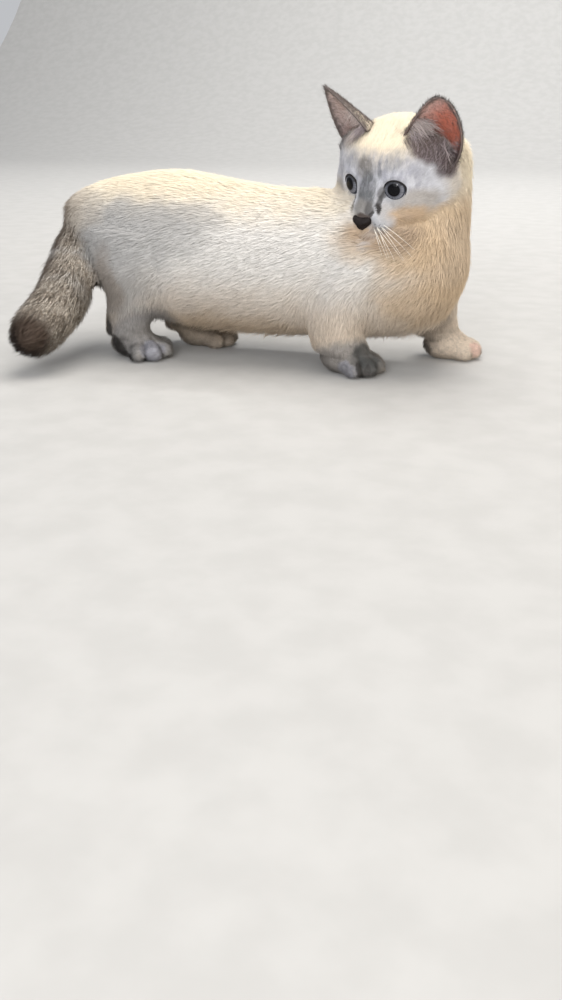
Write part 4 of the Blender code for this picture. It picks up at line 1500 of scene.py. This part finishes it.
def ear_material(look, name, redness, upper):
    """Pink and thin inside the cup, with fine veins, a dark rim, and cream at the foot of the back."""
    material, tree, shader = new_material(name)
    places = object_mm(tree)
    share = {key: attribute_of(tree, key) for key in EAR_LAYERS}
    spot = add(tree, "ShaderNodeCombineXYZ", {0: share["across"], 1: share["up"], 2: 0.0}).outputs[0]
    uneven = ranged(tree, noise_of(tree, places, 0.25, 3.0), 0.3, 0.7, -0.12, 0.12)
    red = patch(tree, spot, (0.66, 0.50, 0), (0.36, 0.46, 1), edge=(0.3, 1.4))
    red = math_of(tree, "MULTIPLY", math_of(tree, "ADD", red, uneven, clamp=True), redness)
    low = ranged(tree, share["up"], 0.10, 0.45, 1.0, 0.0)
    inner = blended(tree, low, upper, look.ear_shade)
    inner = blended(tree, red, inner, look.ear_pink)
    veins = ranged(tree, noise_of(tree, places, 0.6, 4.0, 0.7), 0.44, 0.56, 0.86, 1.04)
    inner = toned(tree, veins, inner)
    back = blended(tree, ranged(tree, share["up"], 0.15, 0.7), look.back_cream, look.ear_rim)
    colour = blended(tree, share["inside"], back, inner)
    gap = math_of(tree, "ADD", share["rim_gap"], math_of(tree, "MULTIPLY", uneven, 12.0))
    colour = blended(tree, ranged(tree, gap, 0.0, 4.6, 0.92, 0.0), colour, look.ear_rim)
    put(tree, shader.inputs["Base Color"], colour)
    grain = noise_of(tree, places, 1.8)
    bump = add(tree, "ShaderNodeBump", {"Height": grain, "Strength": 0.3, "Distance": 0.0003})
    put(tree, shader.inputs["Normal"], bump.outputs[0])
    shader.inputs["Roughness"].default_value = 0.7
    return material


def hair_material(name, root, tip):
    """Loose hair that pales or darkens to its tip."""
    material, tree, shader = new_material(name)
    along = attribute_of(tree, "along")
    colour = blended(tree, ranged(tree, along, 0.1, 0.9), root, tip)
    value = ranged(tree, attribute_of(tree, "tone"), 0.0, 1.0, 0.62, 1.18)
    put(tree, shader.inputs["Base Color"], toned(tree, value, colour))
    shader.inputs["Roughness"].default_value = 0.6
    shader.inputs["Specular IOR Level"].default_value = 0.3
    return material


def whisker_material(look):
    """Pale bristle, faintly uneven along its length."""
    material, tree, shader = new_material("kitten_whisker")
    uneven = ranged(tree, noise_of(tree, object_mm(tree), 0.4), 0.3, 0.7, 0.85, 1.05)
    put(tree, shader.inputs["Base Color"], toned(tree, uneven, look.whisker_white))
    shader.inputs["Roughness"].default_value = 0.4
    return material


# Settings


def colour_setting(name, description, default):
    return FloatVectorProperty(
        name=name, description=description, default=default, size=3, min=0, max=1, subtype="COLOR"
    )


class KittenLook(bpy.types.PropertyGroup):
    """Sizes and colours of the kitten's coat and face."""

    coat_length: FloatProperty(
        name="Coat length", description="Length of the tufts against the plain coat", default=1.0,
        min=0.5, max=1.5, subtype="FACTOR",
    )
    coat_density: FloatProperty(
        name="Coat density", description="Number of full tufts against the plain coat", default=0.5,
        min=0.1, max=1.3, subtype="FACTOR",
    )
    undercoat_density: FloatProperty(
        name="Undercoat density", description="Number of fine tufts against the plain coat", default=2.1,
        min=0.1, max=4.0, subtype="FACTOR",
    )
    tuft_width: FloatProperty(
        name="Tuft width", description="Width of a full tuft of the body", default=0.00044,
        unit="LENGTH",
    )
    seed: IntProperty(name="Seed", description="Start of the tufts' chance", default=11)
    back_cream: colour_setting("Back", "Warm cream of the back and crown", (0.79, 0.69, 0.53))
    flank_white: colour_setting("Flank", "Cool white of the sides", (0.74, 0.715, 0.68))
    belly_beige: colour_setting("Belly", "Beige of the lower sides", (0.66, 0.54, 0.42))
    haunch_grey: colour_setting("Haunch", "Grey of the haunch", (0.38, 0.375, 0.37))
    # Partly the bib's own tan, partly painted warm shade of the chest, throat and belly.
    chest_tan_and_shade: colour_setting("Bib", "Tan of the chest and throat", (0.60, 0.445, 0.29))
    foot_grey: colour_setting("Feet", "Blue grey of the right feet", (0.26, 0.262, 0.27))
    # Dark fur of the feet, and painted shade in the clefts of the right forefoot's toes.
    dark_fur_and_cleft_shade: colour_setting("Dark of the feet", "Dark strip and patch of the feet", (0.045, 0.040, 0.038))
    foot_shade: colour_setting("Shade of the feet", "Grey patch on the right forefoot", (0.085, 0.085, 0.082))
    toe_pale: colour_setting("Pale toes", "Blue grey of the right hind toes", (0.38, 0.38, 0.43))
    foot_brown: colour_setting("Brown of the feet", "Grey brown of the left feet", (0.25, 0.205, 0.165))
    foot_pink: colour_setting("Toes", "Pinkish end of the left forefoot", (0.66, 0.42, 0.36))
    tail_brown: colour_setting("Tail", "Grey brown of the tail", (0.20, 0.162, 0.125))
    tail_pale: colour_setting("Tail ticking", "Pale ticking of the tail", (0.46, 0.41, 0.35))
    tail_tip: colour_setting("Tail tip", "Dark brown of the tail's end", (0.080, 0.056, 0.042))
    # White of the face, cooled and darkened with painted shade.
    face_shaded_white: colour_setting("Face", "Cool white of the face", (0.62, 0.625, 0.66))
    face_cool: colour_setting("Brow", "Blue grey streaks of the brow and cheeks", (0.38, 0.38, 0.43))
    # The muzzle's white darkened with painted shade.
    muzzle_shaded_white: colour_setting("Muzzle", "Shaded white of the muzzle", (0.48, 0.48, 0.50))
    cheek_peach: colour_setting("Cheek edge", "Peach at the lower edge of the cheeks", (0.56, 0.385, 0.225))
    # Painted shade below the eyes and on the sides of the muzzle.
    cheek_shade: colour_setting("Cheek shade", "Grey beige below the eyes", (0.40, 0.365, 0.33))
    cheek_cream: colour_setting("Cheeks", "Warm cream at the back of the cheeks", (0.72, 0.62, 0.48))
    mask_grey: colour_setting("Mask", "Grey between the eyes", (0.16, 0.165, 0.175))
    mask_upper: colour_setting("Mask top", "Grey brown at the top of the mask", (0.24, 0.22, 0.20))
    bridge_beige: colour_setting("Bridge", "Beige grey above the nose", (0.31, 0.295, 0.28))
    mask_brown: colour_setting("Nose edge", "Brown at the nose's upper edge", (0.10, 0.075, 0.065))
    # Dark tear streaks, and a painted shadow beside the nose.
    tear_marks_and_nose_shadow: colour_setting("Tear marks", "Dark streak below the eye's inner corner", (0.05, 0.045, 0.045))
    ear_base: colour_setting("Ear base", "Dark mauve brown fluff below the ear", (0.085, 0.058, 0.061))
    # Painted shadow of the chin on the throat.
    throat_shade: colour_setting("Throat", "Shaded tan of the throat below the chin", (0.34, 0.25, 0.175))
    # Painted shade on the side of the nose bridge and at the left eye's inner corner.
    mask_shade: colour_setting("Bridge side", "Grey of the nose bridge's side", (0.12, 0.115, 0.115))
    # Pink of the lip, darkened with painted shade under the chin.
    pink_lip_and_chin_shade: colour_setting("Lip", "Pinkish lower lip", (0.35, 0.24, 0.18))
    whisker_grey: colour_setting("Whisker spots", "Grey dashes of the whisker pads", (0.10, 0.10, 0.11))
    iris_pale: colour_setting("Iris", "Pale grey blue of the iris", (0.20, 0.205, 0.235))
    iris_dark: colour_setting("Iris streaks", "Darker streaks of the iris", (0.10, 0.103, 0.12))
    iris_inner: colour_setting("Iris centre", "Colour round the pupil", (0.06, 0.062, 0.075))
    iris_ring: colour_setting("Iris edge", "Dark outer ring of the iris", (0.030, 0.034, 0.045))
    eye_white: colour_setting("Eye white", "White of the eye", (0.30, 0.27, 0.26))
    rim_dark: colour_setting("Lid rim", "Dark skin of the lids", (0.018, 0.016, 0.017))
    nose_dark: colour_setting("Nose", "Charcoal of the nose", (0.014, 0.010, 0.010))
    ear_pink: colour_setting("Ear inside", "Red pink of the inner ear", (0.53, 0.155, 0.10))
    ear_mauve: colour_setting("Ear shade", "Mauve of the inner ear", (0.60, 0.375, 0.33))
    ear_shade: colour_setting("Ear depth", "Dark mauve low in the ear", (0.16, 0.11, 0.105))
    ear_rim: colour_setting("Ear rim", "Dark grey brown of the ear's rim and back", (0.115, 0.09, 0.082))
    ear_lilac: colour_setting("Far ear", "Pale lilac inside the right ear", (0.50, 0.42, 0.40))
    ear_hair: colour_setting("Ear hair", "Pale hair inside the ear", (0.62, 0.53, 0.51))
    ear_fluff: colour_setting("Ear fluff", "Mauve tips of the fluff below the ear", (0.36, 0.30, 0.31))
    whisker_white: colour_setting("Whiskers", "Pale whiskers", (0.95, 0.90, 0.80))


# Operators


class KITTEN_OT_skin_and_coat(bpy.types.Operator):
    """Makes the skin below the coat and the coat itself"""

    bl_idname = "kitten.skin_and_coat"
    bl_label = "Skin and coat"

    def execute(self, context):
        look = context.scene.kitten_look
        marks_and_shade = marks_and_shade_group(look)
        skin = dress(skin_form(), skin_material(marks_and_shade), "body_coat", *FLESH)
        guide = Guide(skin, GUIDE_TRIANGLES, coat_lie)
        lighter = thinned(skin, PIECE_TRIANGLES, "lighter_skin")
        skin.data = lighter.data
        bpy.data.objects.remove(lighter)
        rng = np.random.default_rng(look.seed)
        coat = coat_material(marks_and_shade, look)
        for piece in grow_coat(guide, look, rng):
            dress(piece, coat, "body_coat")
        return {"FINISHED"}


class KITTEN_OT_eyes(bpy.types.Operator):
    """Makes the eyeballs and the dark rims of the lids"""

    bl_idname = "kitten.eyes"
    bl_label = "Eyes"

    def execute(self, context):
        look = context.scene.kitten_look
        glossy = eye_material(look)
        rim = leather_material("lid_rim", look.rim_dark, 0.35, 1.6, 0.0001)
        for side in (-1, 1):
            node = "eye_left" if side > 0 else "eye_right"
            dress(eye_form(side), glossy, "eye", node)
            dress(rim_form(side), rim, "nose_leather")
        return {"FINISHED"}


class KITTEN_OT_nose_and_ears(bpy.types.Operator):
    """Makes the nose leather and the ears with their fur and hairs"""

    bl_idname = "kitten.nose_and_ears"
    bl_label = "Nose and ears"

    def execute(self, context):
        look = context.scene.kitten_look
        leather = leather_material("nose_leather", look.nose_dark, 0.38, 2.2, 0.0002)
        dress(nose_form(), leather, "nose_leather", "nose")
        rng = np.random.default_rng(look.seed + 1)
        finishes = {
            "ear_left": ear_material(look, "kitten_ear_left", 1.0, look.ear_mauve),
            "ear_right": ear_material(look, "kitten_ear_right", 0.12, look.ear_lilac),
        }
        back = hair_material("ear_back_hair", look.ear_rim, look.ear_rim)
        pale = hair_material("ear_pale_hair", look.ear_hair, look.ear_hair)
        dark = hair_material("ear_low_hair", look.ear_base, look.ear_fluff)
        strand = hair_material("ear_strand_hair", look.ear_fluff, look.ear_hair)
        hairs = {
            "ear_left": {"pale": pale, "outer": dark, "low": dark, "strand": strand},
            "ear_right": {"pale": pale, "outer": dark, "low": strand},
        }
        for name, finish in finishes.items():
            cup = dress(ear_form(name), finish, "ear_coat", name)
            dress(ear_fur(cup, name, rng), back, "ear_coat")
            for kind, hair in hairs[name].items():
                dress(ear_hairs(name, kind, rng), hair, "ear_coat")
        return {"FINISHED"}


class KITTEN_OT_whiskers(bpy.types.Operator):
    """Makes the whiskers of the muzzle"""

    bl_idname = "kitten.whiskers"
    bl_label = "Whiskers"

    def execute(self, context):
        look = context.scene.kitten_look
        dress(whisker_forms(), whisker_material(look), "body_coat")
        return {"FINISHED"}


class KITTEN_OT_stage(bpy.types.Operator):
    """Sets up the floor, the lights and the camera"""

    bl_idname = "kitten.stage"
    bl_label = "Stage"

    def execute(self, context):
        make_floor()
        make_lights()
        make_camera(context.scene)
        return {"FINISHED"}


# Stage


PAPER_COLOURS = ((0.39, 0.385, 0.375), (0.42, 0.415, 0.405))


def make_floor():
    """A pale floor that curves up into a plain backdrop."""
    bm = bmesh.new()
    bmesh.ops.create_grid(bm, x_segments=1, y_segments=1, size=1.8)
    back = max(bm.edges, key=lambda edge: sum(vert.co.y for vert in edge.verts))
    bmesh.ops.spin(
        bm, geom=[back, *back.verts], cent=(0, 1.8, 1.2), axis=(1, 0, 0), dvec=(0, 0, 0),
        angle=math.radians(85), steps=20, use_merge=False,
    )
    floor = new_object("studio_floor", bm)
    material, tree, shader = new_material("floor_paper")
    grain = noise_of(tree, object_mm(tree), 0.05, 3.0)
    tint = blended(tree, ranged(tree, grain, 0.3, 0.7), *PAPER_COLOURS)
    put(tree, shader.inputs["Base Color"], tint)
    shader.inputs["Roughness"].default_value = 0.7
    floor.data.materials.append(material)
    floor.data.shade_smooth()


# Lamps: place, what they aim at, size, power in watts, colour.
LAMPS = {
    "top_softbox": ((0.05, 0.10, 1.4), (0, 0, 0.08), 1.2, 18, (1.0, 0.95, 0.88)),
    "front_fill": ((-0.1, -1.5, 0.9), (0, 0, 0.08), 1.6, 14.5, (0.97, 0.98, 1.0)),
    "side_fill": ((1.3, -0.7, 0.45), (0.05, 0, 0.09), 1.0, 10.5, (1.0, 0.93, 0.82)),
    "eye_light": ((0.10, -1.2, 0.50), (0.06, 0, 0.12), 0.20, 5.0, (1.0, 1.0, 1.0)),
    "backdrop_wash": ((0, 1.0, 1.8), (0, 2.7, 0.4), 1.2, 55, (1.0, 0.99, 0.97)),
}
AIR_COLOUR = (0.94, 0.96, 1.0, 1)
AIR_STRENGTH = 0.55


def make_lights():
    for name, (place, aim, size, power, colour) in LAMPS.items():
        data = bpy.data.lights.new(name, "AREA")
        data.shape = "DISK"
        data.size = size
        data.energy = power
        data.color = colour
        lamp = in_scene(name, data)
        lamp.location = place
        lamp.rotation_euler = (Vector(aim) - Vector(place)).to_track_quat("-Z", "Y").to_euler()
    world = bpy.data.worlds.new("studio_air")
    world.use_nodes = True
    background = world.node_tree.nodes["Background"]
    background.inputs["Color"].default_value = AIR_COLOUR
    background.inputs["Strength"].default_value = AIR_STRENGTH
    bpy.context.scene.world = world


# Camera: place, turn round the upright axis, how far down it looks, lens, film height and picture shift.
CAMERA_PLACE = (190.55, -562.5, 154.5)
CAMERA_AZIMUTH = 17
CAMERA_PITCH = 8.3
CAMERA_LENS = 37.2
CAMERA_FILM = 36
CAMERA_SHIFT = -0.25


def make_camera(scene):
    data = bpy.data.cameras.new("camera")
    data.sensor_fit = "VERTICAL"
    data.sensor_height = CAMERA_FILM
    data.lens = CAMERA_LENS
    data.shift_y = CAMERA_SHIFT
    data.clip_start = 0.02
    camera = in_scene("camera", data)
    camera.location = Vector(CAMERA_PLACE) * MM
    camera.rotation_euler = (math.radians(90 - CAMERA_PITCH), 0, math.radians(CAMERA_AZIMUTH))
    scene.camera = camera
    scene.view_settings.view_transform = "Standard"


class KITTEN_PT_panel(bpy.types.Panel):
    """Lists the kitten's pieces and settings"""

    bl_label = "Kitten"
    bl_idname = "KITTEN_PT_panel"
    bl_space_type = "VIEW_3D"
    bl_region_type = "UI"
    bl_category = "Kitten"

    def draw(self, context):
        look = context.scene.kitten_look
        for name in KittenLook.__annotations__:
            self.layout.prop(look, name)
        for operator in OPERATORS:
            self.layout.operator(operator.bl_idname)


OPERATORS = (
    KITTEN_OT_skin_and_coat, KITTEN_OT_eyes, KITTEN_OT_nose_and_ears, KITTEN_OT_whiskers,
    KITTEN_OT_stage,
)
CLASSES = (KittenLook, *OPERATORS, KITTEN_PT_panel)


def register():
    for item in CLASSES:
        bpy.utils.register_class(item)
    bpy.types.Scene.kitten_look = PointerProperty(type=KittenLook)


def unregister():
    del bpy.types.Scene.kitten_look
    for item in reversed(CLASSES):
        bpy.utils.unregister_class(item)


def main():
    register()
    bpy.ops.kitten.skin_and_coat()
    bpy.ops.kitten.eyes()
    bpy.ops.kitten.nose_and_ears()
    bpy.ops.kitten.whiskers()
    bpy.ops.kitten.stage()


if __name__ == "__main__":
    main()
